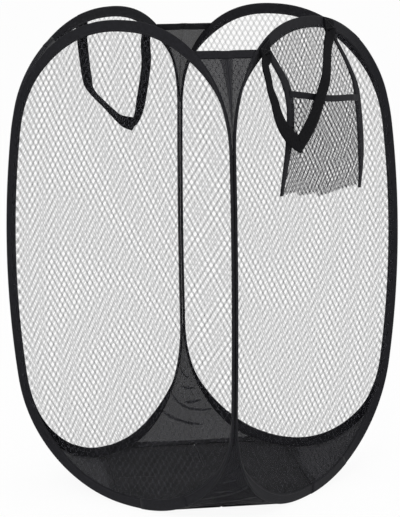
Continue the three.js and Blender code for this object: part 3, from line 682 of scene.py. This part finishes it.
def sew_corner(name, grid, thickness, material, node, corner):
    """Turns a corner's cloth into its place. At the back right corner its two halves ride the back and
    right panels; the other corners' cloths stay fixed.
    """
    quarter = CORNERS[corner]
    grid = turned(grid, quarter)
    uv = metric_uv(grid)
    pairs = {"front_left": ("front_panel", "left_panel"), "front_right": ("right_panel", "front_panel"),
             "back_left": ("left_panel", "back_panel")}
    made = []
    if corner in pairs:
        piece = cloth(name, grid, thickness, material, uv)
        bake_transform(piece)
        made.append(piece)
    else:
        # The seam at the back right corner opens as the hamper folds, so its cloth is in two halves.
        half = grid.shape[1] // 2
        for part, body, joint, span in (("a", "back_panel", "back_fold", slice(0, half + 1)),
                                        ("b", "right_panel", "right_fold", slice(half, None))):
            piece = cloth(name + "_" + part, grid[:, span], thickness, material, uv[:, span])
            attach(piece, body)
            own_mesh(piece)
            made.append(piece)
    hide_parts(node)
    return made


def repaint(piece, columns, rules):
    """Gives faces of a corner's cloth other materials. Each rule is a material and a test of a face's
    middle and of its place across the cloth, from 0 to 1."""
    sheet_faces = (len(piece.data.vertices) // 2 // (columns + 1) - 1) * columns
    for material, test in rules:
        piece.data.materials.append(material)
        for face in piece.data.polygons[:2 * sheet_faces]:
            if test(face.center, (face.index % columns + 0.5) / columns):
                face.material_index = len(piece.data.materials) - 1


TOP_ROWS = 36
TOP_WRINKLE = 0.5 * MM
FOLD_WIDTH_SHARE = 0.085
# The soft fold is a tuck. Its middle is painted darker with the less see-through copies, partly for the
# doubled cloth and partly as painted shade of the fold: within these shares of the width from the fold's
# middle, and above these shares of the way up from the seam.
TUCK_SHARES = {"creased_shade": (0.13, 0.35), "doubled_shade": (0.045, 0.5)}
part = np.linspace(0, 1, COLUMNS + 1)
top_heights = np.linspace(SEAM_HALF + TIP_GAP, HEM_LEVEL, TOP_ROWS)
fold_shape = np.exp(-((part - 0.5) / FOLD_WIDTH_SHARE) ** 2)
for corner in CORNERS:
    seed = 50 + CORNERS[corner]
    rise = (top_heights - SEAM_HALF) / (HEM_LEVEL - SEAM_HALF)
    folds = TOP_FOLD * rise[:, None] * fold_shape[None]
    wave = smooth_waves(part * 0.06 + 0.2 * top_heights[:, None], seed, [0.021, 0.034])
    folds = folds + TOP_WRINKLE * wave * np.sin(math.pi * part)[None] * rise[:, None]
    grid = corner_grid(gusset_edge(top_heights, GUSSET_OFFSET), folds)
    made = sew_corner(corner + "_top_tricot", grid, GUSSET, taut_tricot,
                      corner + "_top_gusset", corner)
    # Painted shade: the tuck's middle gets the creased and doubled copies, which darken it as the fold's
    # shade does.
    for material, key in ((creased_shade_tricot, "creased_shade"), (doubled_shade_tricot, "doubled_shade")):
        reach, foot = TUCK_SHARES[key]
        foot_level = MID_HEIGHT + SEAM_HALF + foot * (HEM_LEVEL - SEAM_HALF)
        if len(made) == 1:
            repaint(made[0], COLUMNS,
                    [(material, lambda spot, share: abs(share - 0.5) < reach and spot.z > foot_level)])

# Hem: the gusset's free upper edge is bound with the same tape, folded over it.
HEM = 1.8 * MM
HEM_GAP = 0.3 * MM
HEM_ROWS = 7
hem_heights = np.linspace(HEM_LEVEL + HEM_GAP, HEM_LEVEL + HEM_GAP + HEM_HEIGHT, HEM_ROWS)
for corner in CORNERS:
    folds = TOP_FOLD * np.ones((HEM_ROWS, 1)) * fold_shape[None]
    grid = corner_grid(gusset_edge(hem_heights, TAPE_FOLD + 0.1 * MM), folds)
    sew_corner(corner + "_hem_tape", grid, HEM, black_tape, corner + "_top_hem", corner)

# Bottom gussets curve in under the hamper and lap onto the base, and wrinkle where the cloth is slack.
# The foot of each is painted with the opaque base cloth, for the base's edge turned up inside it and as
# painted shade of the floor's shadow seen through the thin cloth.
BOTTOM_FOLD = 5 * MM
BASE = 1 * MM
LAP = 6 * MM
SHADED_TURN_UP = 5 * MM
# Each painted crease shade, a dark line of the doubled, less see-through cloth where a wrinkle doubles and
# shades it: its height at the cloth's two edges, its sag, and the shares of the width that it crosses.
CREASE_SHADES = [(54 * MM, 33 * MM, 7 * MM, 0.02, 0.97), (33 * MM, 17 * MM, 5 * MM, 0.02, 0.66),
           (70 * MM, 62 * MM, 6 * MM, 0.3, 0.8), (48 * MM, 46 * MM, 4 * MM, 0.42, 0.85),
           (92 * MM, 74 * MM, 8 * MM, 0.05, 0.7)]
CREASE_SHADE_WIDTH = 1.3 * MM

# Backed plain-weave polyester: a 2.4 mm check of over and under, drawn six times the real thread spacing.
CHECK = 2.369 * MM
black_oxford = dyed_polyester("black_oxford_cloth", 0.85, 0.12, ((0.3, "#18181a"), (0.8, "#252528")),
                              (25.0, 4.0), sheen=(0.02, 0.5),
                              waves=[("X", CHECK, 0, 0.0, 2.0), ("Y", CHECK, 0, 0.0, 2.0)],
                              relief=(0.4, 0.2 * MM), by_length=False)

LOW_ROWS = 130
LOW_START_SHARE, LOW_END_SHARE = 0.12, 0.9
LOW_WRINKLE = 1.9 * MM
angles = np.linspace(LOW_START_SHARE, LOW_END_SHARE, LOW_ROWS)
low_heights = SEAM_HALF + (WIRE_HALF_HEIGHT - SEAM_HALF) * np.sin(angles * math.pi / 2) ** (2 / OVAL_POWER)
low_heights = -np.concatenate([[SEAM_HALF + TIP_GAP], low_heights[low_heights > SEAM_HALF + 2 * TIP_GAP]])
edges = gusset_edge(low_heights, GUSSET_OFFSET)
foot = edges[-1].copy()
foot[1] += LAP
foot[2] = BASE + 0.3 * MM + GUSSET / 2
lap_rows = [edges[-1] * (1 - t) + foot * t for t in (0.34, 0.67, 1.0)]
edges = np.concatenate([edges, np.array(lap_rows)])[::-1]
ramp = np.clip((np.abs(low_heights) - SEAM_HALF) / (HEM_LEVEL - SEAM_HALF), 0, 1)
ramp = np.concatenate([ramp, [0.6, 0.3, 0]])[::-1]
sag = np.sin(math.pi * part) ** 1.2
for corner in CORNERS:
    seed = 80 + CORNERS[corner]
    row = np.linspace(0, 1, len(edges))[:, None]
    arc = row * 0.16 + 0.035 * (2 * part[None] - 1) ** 2
    wrinkle = smooth_waves(arc, seed, [0.027, 0.041, 0.019])
    folds = -BOTTOM_FOLD * ramp[:, None] * sag[None]
    folds = folds + LOW_WRINKLE * wrinkle * sag[None] * ramp[:, None] * (row > 0.04)
    grid = corner_grid(edges, folds)
    # The cloth at the two side corners lets less light through than at the other two: painted shade of the
    # shaded floor seen through it.
    knit = side_shade_tricot if corner in ("front_right", "back_left") else black_tricot
    made = sew_corner(corner + "_bottom_tricot", grid, GUSSET, knit,
                      corner + "_bottom_gusset", corner)
    columns = COLUMNS // len(made)
    for half, piece in enumerate(made):

        def creased_shade(spot, share):
            """Whether a place lies on one of the painted crease shades, seen across the whole corner."""
            share = (share + half) / len(made)
            for left, right, slack, begin, end in CREASE_SHADES:
                level = left + (right - left) * share - slack * math.sin(math.pi * share)
                along = min(max((share - begin) / (end - begin), 0), 1)
                if abs(spot.z - level) < CREASE_SHADE_WIDTH * math.sin(math.pi * along) ** 0.5:
                    return True
            return False

        # Painted shade: the crease lines get the doubled copy of the cloth, and the foot gets the opaque
        # base cloth.
        repaint(piece, columns, [(doubled_shade_tricot, creased_shade),
                                 (black_oxford, lambda spot, share: spot.z < SHADED_TURN_UP)])


# Base
# A square of plain-woven polyester, dyed black and backed, closes the bottom. It is sewn to the four tapes
# and under the gussets, lies slack on the floor and creases a little.
BASE_REACH = HALF_WIDTH + float(panel_lean(WIRE_HALF_HEIGHT)) - TAPE_FOLD - 0.1 * MM
RIM_RUN = 9 * MM
CHAMFER = float(-foot[0] - foot[1]) + LAP * 0.85
BASE_ROWS = 40
BASE_CREASE = 2.2 * MM
CREASE_FADE = 40 * MM
arc_levels = np.linspace(WIRE_HALF_HEIGHT * 0.9, WIRE_HALF_HEIGHT, 300)[::-1]
base_arc = np.stack([oval_half_width(arc_levels), MID_HEIGHT - arc_levels], axis=-1)
depth = np.linspace(0, 1, BASE_ROWS + 1)
for number, side in enumerate(SIDES):
    # One quarter of the base, from its middle to the side's tape: row by row outwards.
    out = depth[:, None] * BASE_REACH
    wide = np.minimum(out, np.maximum(CHAMFER - out, 0.0))
    spread = np.linspace(-1, 1, BASE_ROWS + 1)[None]
    x = wide * spread
    y = np.broadcast_to(-out, x.shape)
    world = turned(np.stack([x, y, np.zeros_like(x)], axis=-1), number)
    wx, wy = world[..., 0], world[..., 1]
    crease = smooth_waves(wx * 0.8 + wy * 0.6, 7, [0.13, 0.071])
    crease = crease + smooth_waves(wy - 0.4 * wx, 9, [0.17, 0.052])
    side_room = BASE_REACH - np.maximum(np.abs(wx), np.abs(wy))
    corner_room = CHAMFER - 12 * MM - np.abs(wx) - np.abs(wy)
    edge_room = np.clip(np.minimum(side_room, corner_room) / CREASE_FADE, 0, 1)
    # The rim is pulled up to the tape, which rises from the middle of the side.
    rim = np.clip((out - BASE_REACH + RIM_RUN) / RIM_RUN, 0, 1) ** 1.5
    widths = np.interp(np.abs(x), base_arc[:, 0], base_arc[:, 1])
    world[..., 2] = BASE / 2 + BASE_CREASE * edge_room * np.maximum(crease * 0.5 + 0.25, 0)
    world[..., 2] += rim * (widths - BASE / 2)
    quarter_cloth = cloth(side + "_base_cloth", world[::-1], BASE, black_oxford, world[::-1, :, :2])
    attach(quarter_cloth, side + "_panel")
    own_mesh(quarter_cloth)
    if side == "front":
        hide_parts("base_panel")


# Handles
# Each handle is one length of 20 mm polyester webbing, sewn to the top tape at both ends with a boxed
# cross. It hangs as a loop, folded at its lowest point. The back one is twisted on one side.
WEBBING = 20 * MM
WEBBING_THICK = 1.5 * MM
HANDLE_LEFT = -94 * MM
HANDLE_RIGHT = 46 * MM
END_DROP = 14 * MM
HANDLE_OFFSET = FOLD_RADIUS + 0.3 * MM + WEBBING_THICK / 2
NOSE_SHARES = [0.25, 0.7, 0.95]
FOLD_TIP = 10.5 * MM
LEG_STEPS = 56
SETTLED_SHARE = 0.5
TAB_POINTS = 9
TAB_DROP = 0.8 * MM
CROSS_PITCH, CROSS_STITCH = 3.0 * MM, 2.4 * MM
# Each bend's place along the hinge line and its drop, as shares, and the twist in degrees along the route.
HANDLES = {
    "front": {"standoff": 22 * MM, "drop": 112 * MM,
              "spans": [0, -0.04, -0.05, -0.07, -0.06, -0.034, 0.022, 0.12, 0.244, 0.34, 0.44, 0.515, 0.6,
                        0.724, 0.86, 1],
              "drops": [0, 0.07, 0.22, 0.34, 0.464, 0.6, 0.741, 0.88, 1, 0.93, 0.845, 0.768, 0.64,
                        0.455, 0.22, 0],
              "twist": [(0, 14), (0.2, 12), (0.42, 2), (0.6, 0), (0.85, 3), (1, 5)]},
    "back": {"standoff": 7 * MM, "drop": 129 * MM,
             "spans": [0, 0.03, 0.02, 0.045, 0.1, 0.17, 0.32, 0.44, 0.544, 0.637, 0.724, 0.8, 0.88, 0.95,
                       1],
             "drops": [0, 0.12, 0.36, 0.64, 0.9, 1, 0.975, 0.915, 0.85, 0.79, 0.733, 0.67, 0.56, 0.33, 0],
             "twist": [(0, 0), (0.36, 0), (0.46, 14), (0.53, 36), (0.62, 43), (0.7, 47), (0.75, 38),
                       (0.81, 8), (1, 0)]},
}

# Polyester webbing: a twill whose ribs cross it at 45 degrees, 4 mm apart here so that they show.
TWILL = 3.948 * MM
black_webbing = dyed_polyester("black_polyester_webbing", 0.75, 0.06,
                               ((0.3, "#0a0a0c"), (0.75, "#151518")), (300.0, 3.0),
                               waves=[("X", TWILL, 45, 0.6, 2.0)], relief=(0.6, 0.25 * MM))


def wire_height(across):
    """The height of the wire's upper run above a place along the panel."""
    heights = np.linspace(SEAM_HALF, WIRE_HALF_HEIGHT, 400)
    widths = oval_half_width(heights)
    return np.interp(np.abs(across), widths[::-1], heights[::-1])


def hinge_spot(across):
    height = wire_height(across) - END_DROP
    return on_panel(across, height, HANDLE_OFFSET + WEBBING_THICK + 0.3 * MM)


def unit(vectors):
    return vectors / np.linalg.norm(vectors, axis=-1, keepdims=True)


def smooth_route(knots, samples):
    """A smooth curve through knots, spaced by the square root of their distance."""
    knots = np.asarray(knots, float)
    full = np.concatenate([[2 * knots[0] - knots[1]], knots, [2 * knots[-1] - knots[-2]]])
    times = np.concatenate([[0], np.cumsum(np.sqrt(np.linalg.norm(np.diff(full, axis=0), axis=1)))])
    out = []
    for t in np.linspace(times[1], times[-2], samples + 1):
        i = int(np.clip(np.searchsorted(times, t, side="right") - 1, 1, len(knots) - 1))
        spots, at = full[i - 1:i + 3], times[i - 1:i + 3]
        # Each round blends neighbours, over 1, then 2, then 1 steps between knots.
        for reach, first in ((1, 0), (2, 0), (1, 1)):
            blended = []
            for k in range(len(spots) - 1):
                start, end = at[first + k], at[first + k + reach]
                before, after = (end - t) / (end - start), (t - start) / (end - start)
                blended.append(before * spots[k] + after * spots[k + 1])
            spots = blended
        out.append(spots[0])
    return np.array(out)


def strip_rings(places, sides, normals, width, thickness):
    """Rings of points round a strip along a route, and their flat places. It has rounded selvedges, and its
    width and thickness may change on the way."""
    upper = [(0.5, 0.0), (0.49, 0.35), (0.46, 0.5), (0.25, 0.5), (0.0, 0.5), (-0.25, 0.5), (-0.46, 0.5),
             (-0.49, 0.35)]
    edge = np.array(upper + [(-x, -y) for x, y in upper])
    width = np.broadcast_to(width, len(places))[:, None, None]
    thickness = np.broadcast_to(thickness, len(places))[:, None, None]
    rings = places[:, None] + sides[:, None] * edge[None, :, :1] * width
    rings = rings + normals[:, None] * edge[None, :, 1:] * thickness
    distance = np.concatenate([[0], np.cumsum(np.linalg.norm(np.diff(places, axis=0), axis=1))])
    uv = np.stack(np.broadcast_arrays(distance[:, None], edge[None, :, 0] * width[:, :, 0]), axis=-1)
    return rings, uv


def strip(name, rings, uv, side, material):
    return make_piece(name, in_place(rings, side), capped_faces(*rings.shape[:2]), material, uv)


def mitred(rings, places, fold):
    """Ends both legs of a folded strap on the plane between them, and flattens the point of the fold."""
    arriving, leaving = unit(places[fold] - places[fold - 2]), unit(places[fold + 2] - places[fold])
    between, outward = unit(arriving + leaving), unit(arriving - leaving)
    past = (rings - places[fold]) @ between
    number = np.arange(len(rings))[:, None]
    slide = np.where(number < fold, np.maximum(past, 0), np.where(number > fold, np.minimum(past, 0), past))
    way = np.where(number[..., None] > fold, leaving, arriving)
    rings = rings - way * (slide / (way @ between))[..., None]
    beyond = np.maximum((rings - places[fold]) @ outward - FOLD_TIP, 0)
    return rings - beyond[..., None] * outward


left_hinge, right_hinge = hinge_spot(HANDLE_LEFT), hinge_spot(HANDLE_RIGHT)
hinge_line = unit(right_hinge - left_hinge)
for side, handle in HANDLES.items():
    spans, drops = np.array(handle["spans"]), np.array(handle["drops"])
    across = HANDLE_LEFT + (HANDLE_RIGHT - HANDLE_LEFT) * spans
    line = left_hinge[2] + (right_hinge[2] - left_hinge[2]) * spans
    knots = np.stack([across, drops, line - handle["drop"] * drops], axis=-1)
    lowest = int(np.argmax(drops))
    legs = [smooth_route(leg, LEG_STEPS) for leg in (knots[:lowest + 1], knots[lowest:])]
    route = np.concatenate([legs[0], legs[1][1:]])
    share = np.clip(route[:, 1] / SETTLED_SHARE, 0, 1)
    settled = share * share * (3 - 2 * share)
    recess = net_recess(route[:, 0] * 0, route[:, 2])
    hung = on_panel(route[:, 0], route[:, 2], handle["standoff"] - recess)[:, 1]
    span = (route[:, 0] - HANDLE_LEFT) / (HANDLE_RIGHT - HANDLE_LEFT)
    at_hinge = left_hinge[1] + (right_hinge[1] - left_hinge[1]) * span
    places = np.stack([route[:, 0], at_hinge + (hung - at_hinge) * settled, route[:, 2]], axis=-1)
    along = unit(np.gradient(places, axis=0))
    across_strap = unit(np.cross(along, panel_normal(places[:, 2])))
    across_strap[0], across_strap[-1] = -hinge_line, hinge_line
    facing = unit(np.cross(along, across_strap))
    # A twist turns the strap's outer face towards the panel's right.
    progress = np.linspace(0, 1, len(places))
    twist = np.radians(np.interp(progress, *zip(*handle["twist"])))
    twist *= np.clip(np.minimum(progress, 1 - progress) / 0.05, 0, 1)
    twist = (twist * np.sign(across_strap[:, 0]) * -np.sign(facing[:, 1]))[:, None]
    facing, across_strap = (facing * np.cos(twist) + across_strap * np.sin(twist),
                            across_strap * np.cos(twist) - facing * np.sin(twist))
    # Both ends are round on the hinge line.
    nose = WEBBING_THICK / 2 * np.sqrt(1 - np.array(NOSE_SHARES) ** 2)[:, None]
    ends = [unit(way - hinge_line * np.dot(way, hinge_line))
            for way in (places[0] - places[1], places[-1] - places[-2])]
    places = np.concatenate([places[0] + ends[0] * nose, places, (places[-1] + ends[1] * nose)[::-1]])
    across_strap, facing = [np.concatenate([rows[:1]] * 3 + [rows] + [rows[-1:]] * 3)
                            for rows in (across_strap, facing)]
    thick = WEBBING_THICK * np.concatenate([NOSE_SHARES, np.ones(len(route)), NOSE_SHARES[::-1]])
    fold = len(legs[0]) - 1 + len(NOSE_SHARES)
    across_strap[fold], facing[fold] = across_strap[fold - 1], facing[fold - 1]
    rings, uv = strip_rings(places, across_strap, facing, WEBBING, thick)
    rings = mitred(rings, places, fold)
    strap = strip(side + "_handle_webbing", rings, uv, side, black_webbing)
    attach(strap, side + "_handle")
    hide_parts(side + "_handle_strap")
    for end, across in (("left", HANDLE_LEFT), ("right", HANDLE_RIGHT)):
        # The sewn end is cut to the tape's curve, and hangs down a little behind the strap.
        spread = np.linspace(-0.5, 0.5, TAB_POINTS) * WEBBING * hinge_line[0]
        top = wire_height(across + spread) + 0.5 * MM
        low = hinge_spot(across)[2] + spread / hinge_line[0] * hinge_line[2] - TAB_DROP
        levels = top + (low - top) * np.linspace(0, 1, TAB_POINTS)[:, None]
        tab_grid = on_panel(across + spread, levels, TAPE_FOLD + 0.1 * MM + WEBBING_THICK / 2)
        tab_uv = np.stack(np.broadcast_arrays(levels - low, spread), axis=-1)
        tab = cloth(side + "_handle_" + end + "_sewn_end", in_place(tab_grid, side), WEBBING_THICK,
                    black_webbing, tab_uv)
        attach(tab, side + "_panel")
        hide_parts(side + "_handle_" + end + "_end")
        # The boxed cross: a square of stitches with both diagonals, raised on the webbing.
        lift = panel_normal(levels[4, 4]) * (WEBBING_THICK / 2 + 0.05 * MM)
        box = np.array([tab_grid[i, j] + lift for i, j in ((1, 1), (1, 7), (6, 7), (6, 1))])
        stitches = grown(side + "_handle_" + end + "_boxed_cross", stitch_rows, in_place(box, side),
                         [(0, 1), (1, 2), (2, 3), (3, 0), (0, 2), (1, 3)],
                         {"Stitch pitch": CROSS_PITCH, "Stitch length": CROSS_STITCH, "Thread": THREAD})
        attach(stitches, side + "_panel")


# Pocket
# A pocket of a closer net hangs from the front panel's top tape: a back layer, and a slack front layer
# below the mouth. Narrow tape binds both sides and the mouth; the bottom is left as it is cut.
POCKET_SHEET = 0.8 * MM
POCKET_OFF_NET = 1.6 * MM
# Both side edges, in millimetres across the panel, at shares of the way down.
LEFT_SHARES = [0, 0.08, 0.15, 0.23, 0.3, 0.38, 0.48, 0.6, 0.7, 0.78, 0.86, 0.94, 1]
LEFT_EDGE = [-85, -79, -72.9, -65, -58.8, -54.3, -53.2, -57.2, -62.6, -68, -72.8, -77, -80]
RIGHT_SHARES = [0, 0.064, 0.105, 0.145, 0.185, 0.225, 0.265, 0.305, 0.36, 0.5, 0.65, 0.8, 0.9, 1]
RIGHT_EDGE = [50, 59, 68, 76.5, 83, 88.6, 92.6, 94.6, 95.2, 95, 94.7, 94.3, 93.4, 91.5]
MOUTH_SHARE, FRONT_SHARE = 0.4, 0.41
POCKET_LEFT, POCKET_RIGHT, POCKET_SAG = 98 * MM, 84 * MM, 4 * MM
MOUTH_LIFT = (7.5 * MM, 4.5 * MM)
MOUTH_SAG = 10 * MM
LAYER_GAP = 1.8 * MM
POUCH = 10 * MM
POCKET_HANG = 6 * MM
PUCKER = 1.2 * MM
POCKET_ACROSS, POCKET_UP, POCKET_YARN = 7.6 * MM, 10.8 * MM, 2.1 * MM
POCKET_FIELD = (220 * MM, 260 * MM)
POCKET_MIDDLE = np.array([0.0, 185 * MM, 0.0])
POCKET_DRIFT = 1.6 * MM
pocket_grower = net_tree(yarn_material("black_knitted_pocket_yarn", 0.32))

leaf_ring = swept_rings(tape_route, np.stack([tape_route[3], 0 * tape_route[3]], axis=-1)[:, None])[:, 0]
upper = leaf_ring[leaf_ring[:, 2] > SEAM_HALF]
upper = upper[np.argsort(upper[:, 0])]


def pocket_top(across):
    return np.interp(across, upper[:, 0], upper[:, 2]) - 0.3 * MM


def pocket_edges(share):
    """The pocket's left and right edges at a share of the way down from its top."""
    return [np.interp(share, LEFT_SHARES, LEFT_EDGE) * MM, np.interp(share, RIGHT_SHARES, RIGHT_EDGE) * MM]


def pocket_bottom(part):
    return POCKET_LEFT + (POCKET_RIGHT - POCKET_LEFT) * part - POCKET_SAG * np.sin(math.pi * part)


def mouth_lift(part, share):
    """The mouth is pulled up at its ends, the left one more, and sags between them."""
    near = np.minimum(share / MOUTH_SHARE, (1 - share) / (1 - MOUTH_SHARE))
    return near * (MOUTH_LIFT[0] * (1 - part) + MOUTH_LIFT[1] * part - MOUTH_SAG * np.sin(math.pi * part))


def pocket_height(across, part, share):
    return pocket_top(across) * (1 - share) + pocket_bottom(part) * share + mouth_lift(part, share)


def pocket_standoff(share, part, is_front):
    """How far a layer stands off the net: the back one hangs free, the front one bags out at the mouth."""
    hang = 0.25 * MM + POCKET_OFF_NET + POCKET_SHEET / 2 + POCKET_HANG * np.sin(math.pi * share * 0.85)
    if not is_front:
        return hang
    down = (share - MOUTH_SHARE) / (1 - MOUTH_SHARE)
    bag = (1 - (2 * np.clip(part, 0, 1) - 1) ** 2) * np.clip(1 - down**2, 0, 1)
    pucker = PUCKER * np.exp(-((part - 0.86 - 0.1 * down) / 0.035) ** 2) * np.clip(1 - down, 0, 1)
    return hang + LAYER_GAP + POUCH * bag + pucker


def pocket_place(part, share, outward, is_front=False):
    left, right = pocket_edges(share)
    across = left + (right - left) * part
    height = pocket_height(across, part, share)
    outward = pocket_standoff(share, part, is_front) + outward - net_recess(0, height)
    return on_panel(across, height, outward)


def pocket_layer(name, first_share, is_front, node, seed):
    """Grows a net inside the layer's flat outline, then lays it on the layer's curved surface."""
    rows = np.linspace(first_share, 1, 15)
    left, right = pocket_edges(rows)
    rim = list(zip(left, pocket_height(left, 0, rows)))
    low = np.linspace(0, 1, 12)[1:-1]
    across = left[-1] + (right[-1] - left[-1]) * low
    rim += list(zip(across, pocket_height(across, low, 1)))
    rim += list(zip(right[::-1], pocket_height(right, 1, rows)[::-1]))
    across = left[0] + (right[0] - left[0]) * low[::-1]
    rim += list(zip(across, pocket_height(across, low[::-1], first_share)))
    outline = np.array([(x, z, 0.0) for x, z in rim])
    net = grown(name, pocket_grower, outline - POCKET_MIDDLE, [],
                {"Pitch across": POCKET_ACROSS, "Pitch up": POCKET_UP, "Yarn": POCKET_YARN,
                 "Flatness": YARN_FLAT, "Field width": POCKET_FIELD[0], "Field height": POCKET_FIELD[1]},
                [list(range(len(outline)))])
    flat = flat_points(net) + POCKET_MIDDLE
    across, height = drifted(flat[:, 0], flat[:, 1], seed, POCKET_DRIFT)
    top = pocket_top(across)
    share = np.clip((top - height) / (top - POCKET_LEFT), 0, 1)
    # Each place's share of the way down depends on the mouth's lift there, so it is found in rounds.
    for _ in range(12):
        left, right = pocket_edges(share)
        part = np.clip((across - left) / (right - left), 0, 1)
        share = np.clip((top - height + mouth_lift(part, share)) / (top - pocket_bottom(part)), 0, 1)
    outward = pocket_standoff(share, part, is_front) + flat[:, 2] - net_recess(0, height)
    set_points(net, in_place(on_panel(across, height, outward), "front"))
    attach(net, "front_panel")
    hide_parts(node)


pocket_layer("pocket_back_net", 0.0, False, "pocket_back", 61)
pocket_layer("pocket_front_net", FRONT_SHARE, True, "pocket_front", 67)


def pocket_tape(name, places, sides, width, thickness, node):
    """A strip of tape on the pocket, kept below the top tape's free edge."""
    rings, uv = strip_rings(places, sides, panel_normal(places[:, 2]), width, thickness)
    rings[..., 2] = np.minimum(rings[..., 2], pocket_top(rings[..., 0]) - 0.1 * MM)
    tape = strip(name, rings, uv, "front", black_tape)
    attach(tape, "front_panel")
    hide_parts(node)


MOUTH_TAPE = 8 * MM
SIDE_TAPE_SHARES = [0, 0.08, 0.15, 0.25, 0.34, 0.5, 0.68, 0.76, 0.86, 0.94, 1]
SIDE_TAPE_WIDTHS = {"left": [8, 11, 12.5, 13.5, 14.5, 14, 14, 10, 8, 5.5, 4],
                    "right": [5, 5.5, 6.5, 7.5, 11, 11.5, 12, 11.5, 8, 5, 4]}
shares = np.linspace(0, 1, 49)
for name, part in (("left", 0.0), ("right", 1.0)):
    width = np.interp(shares, SIDE_TAPE_SHARES, SIDE_TAPE_WIDTHS[name]) * MM
    places = pocket_place(part, shares, 0.8 * MM)
    sides = np.broadcast_to(np.array([1.0, 0, 0]), places.shape)
    pocket_tape("pocket_" + name + "_tape", places, sides, width, 2.4 * MM, "pocket_" + name + "_binding")
parts = np.linspace(0.004, 0.996, 41)
places = pocket_place(parts, MOUTH_SHARE, 0, True)
sides = np.broadcast_to(np.array([0, 0, 1.0]), places.shape)
pocket_tape("pocket_mouth_tape", places, sides, MOUTH_TAPE, 1.6 * MM, "pocket_mouth_binding")


# Floor, light and camera
# A plain white studio: a wide floor, an even white sky and two large soft lamps.
FLOOR_REACH = 40
FLOOR_GLOW = 0.93
SKY_LIGHT = 0.75
corners = [(FLOOR_REACH * x, FLOOR_REACH * y, 0) for x, y in ((-1, -1), (1, -1), (1, 1), (-1, 1))]
floor_mesh = bpy.data.meshes.new("floor")
floor_mesh.from_pydata(corners, [], [(0, 1, 2, 3)])
floor = bpy.data.objects.new("floor", floor_mesh)
floor.location.z = -0.5 * MM
bpy.context.scene.collection.objects.link(floor)
white_floor, tree, shader = new_material("white_studio_floor")
set_inputs(tree, shader, {"Base Color": (0.98, 0.98, 0.98, 1), "Roughness": 0.9, "Specular IOR Level": 0.1})
path = add_node(tree, "ShaderNodeLightPath").outputs
seen = path["Is Camera Ray"]
for ray in ("Is Glossy Ray", "Is Transmission Ray"):
    seen = add_node(tree, "ShaderNodeMath", {0: seen, 1: path[ray]}, operation="MAXIMUM").outputs[0]
amount = add_node(tree, "ShaderNodeMath", {0: seen, 1: FLOOR_GLOW}, operation="MULTIPLY")
glow = add_node(tree, "ShaderNodeEmission", {"Color": (1, 1, 1, 1), "Strength": 1.0})
mixed = add_node(tree, "ShaderNodeMixShader", {0: amount, 1: shader, 2: glow})
set_inputs(tree, tree.nodes["Material Output"], {"Surface": mixed})
floor_mesh.materials.append(white_floor)
floor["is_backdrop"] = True

world = bpy.data.worlds.new("white_studio")
bpy.context.scene.world = world
world.use_nodes = True
tree = world.node_tree
path = add_node(tree, "ShaderNodeLightPath").outputs["Is Camera Ray"]
strength = add_node(tree, "ShaderNodeMapRange", {"Value": path, "To Min": SKY_LIGHT, "To Max": 1.0})
set_inputs(tree, tree.nodes["Background"], {"Color": (1, 1, 1, 1), "Strength": strength})

# Each lamp: its place, power in watts and width in metres.
LAMP_AIM = np.array([0, 0, 0.3])
LAMPS = [("key_lamp", (-2.6, -1.0, 2.5), 36, 1.6), ("fill_lamp", (2.2, -1.8, 1.8), 9, 1.8)]
for name, spot, power, size in LAMPS:
    lamp = bpy.data.lights.new(name, "AREA")
    lamp.energy, lamp.size = power, size
    holder = bpy.data.objects.new(name, lamp)
    holder.location = spot
    toward = LAMP_AIM - np.array(spot)
    rise = math.atan2(toward[2], math.hypot(toward[0], toward[1]))
    holder.rotation_euler = (math.pi / 2 + rise, 0, math.atan2(-toward[0], toward[1]))
    bpy.context.scene.collection.objects.link(holder)

# The photograph's view, fitted to the hamper's outline and seams: angles, metres and pixels.
AZIMUTH, ELEVATION, ROLL = math.radians(-52.89), math.radians(11.78), math.radians(-0.56)
DISTANCE, FOCAL = 2.39039, 1854.68
CENTRE_X, CENTRE_Y = 204.95, 248.58
IMAGE_WIDTH, IMAGE_HEIGHT = 400, 517
SENSOR_HEIGHT = 36
camera_data = bpy.data.cameras.new("photo_camera")
camera_data.sensor_fit = "VERTICAL"
camera_data.sensor_height = SENSOR_HEIGHT
camera_data.lens = FOCAL / IMAGE_HEIGHT * SENSOR_HEIGHT
camera_data.shift_x = -(CENTRE_X - IMAGE_WIDTH / 2) / IMAGE_HEIGHT
camera_data.shift_y = (CENTRE_Y - IMAGE_HEIGHT / 2) / IMAGE_HEIGHT
camera = bpy.data.objects.new("photo_camera", camera_data)
level = math.cos(ELEVATION)
back = np.array([math.sin(AZIMUTH) * level, -math.cos(AZIMUTH) * level, math.sin(ELEVATION)])
right = np.array([math.cos(AZIMUTH), math.sin(AZIMUTH), 0])
up = np.cross(back, right)
rolled_right = right * math.cos(ROLL) + up * math.sin(ROLL)
rolled_up = np.cross(back, rolled_right)
spot = np.array([0, 0, MID_HEIGHT]) + back * DISTANCE
matrix = np.eye(4)
matrix[:3] = np.stack([rolled_right, rolled_up, back, spot], axis=1)
camera.matrix_world = Matrix(matrix.tolist())
bpy.context.scene.collection.objects.link(camera)
bpy.context.scene.camera = camera
bpy.context.scene.view_settings.view_transform = "Standard"

low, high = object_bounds()
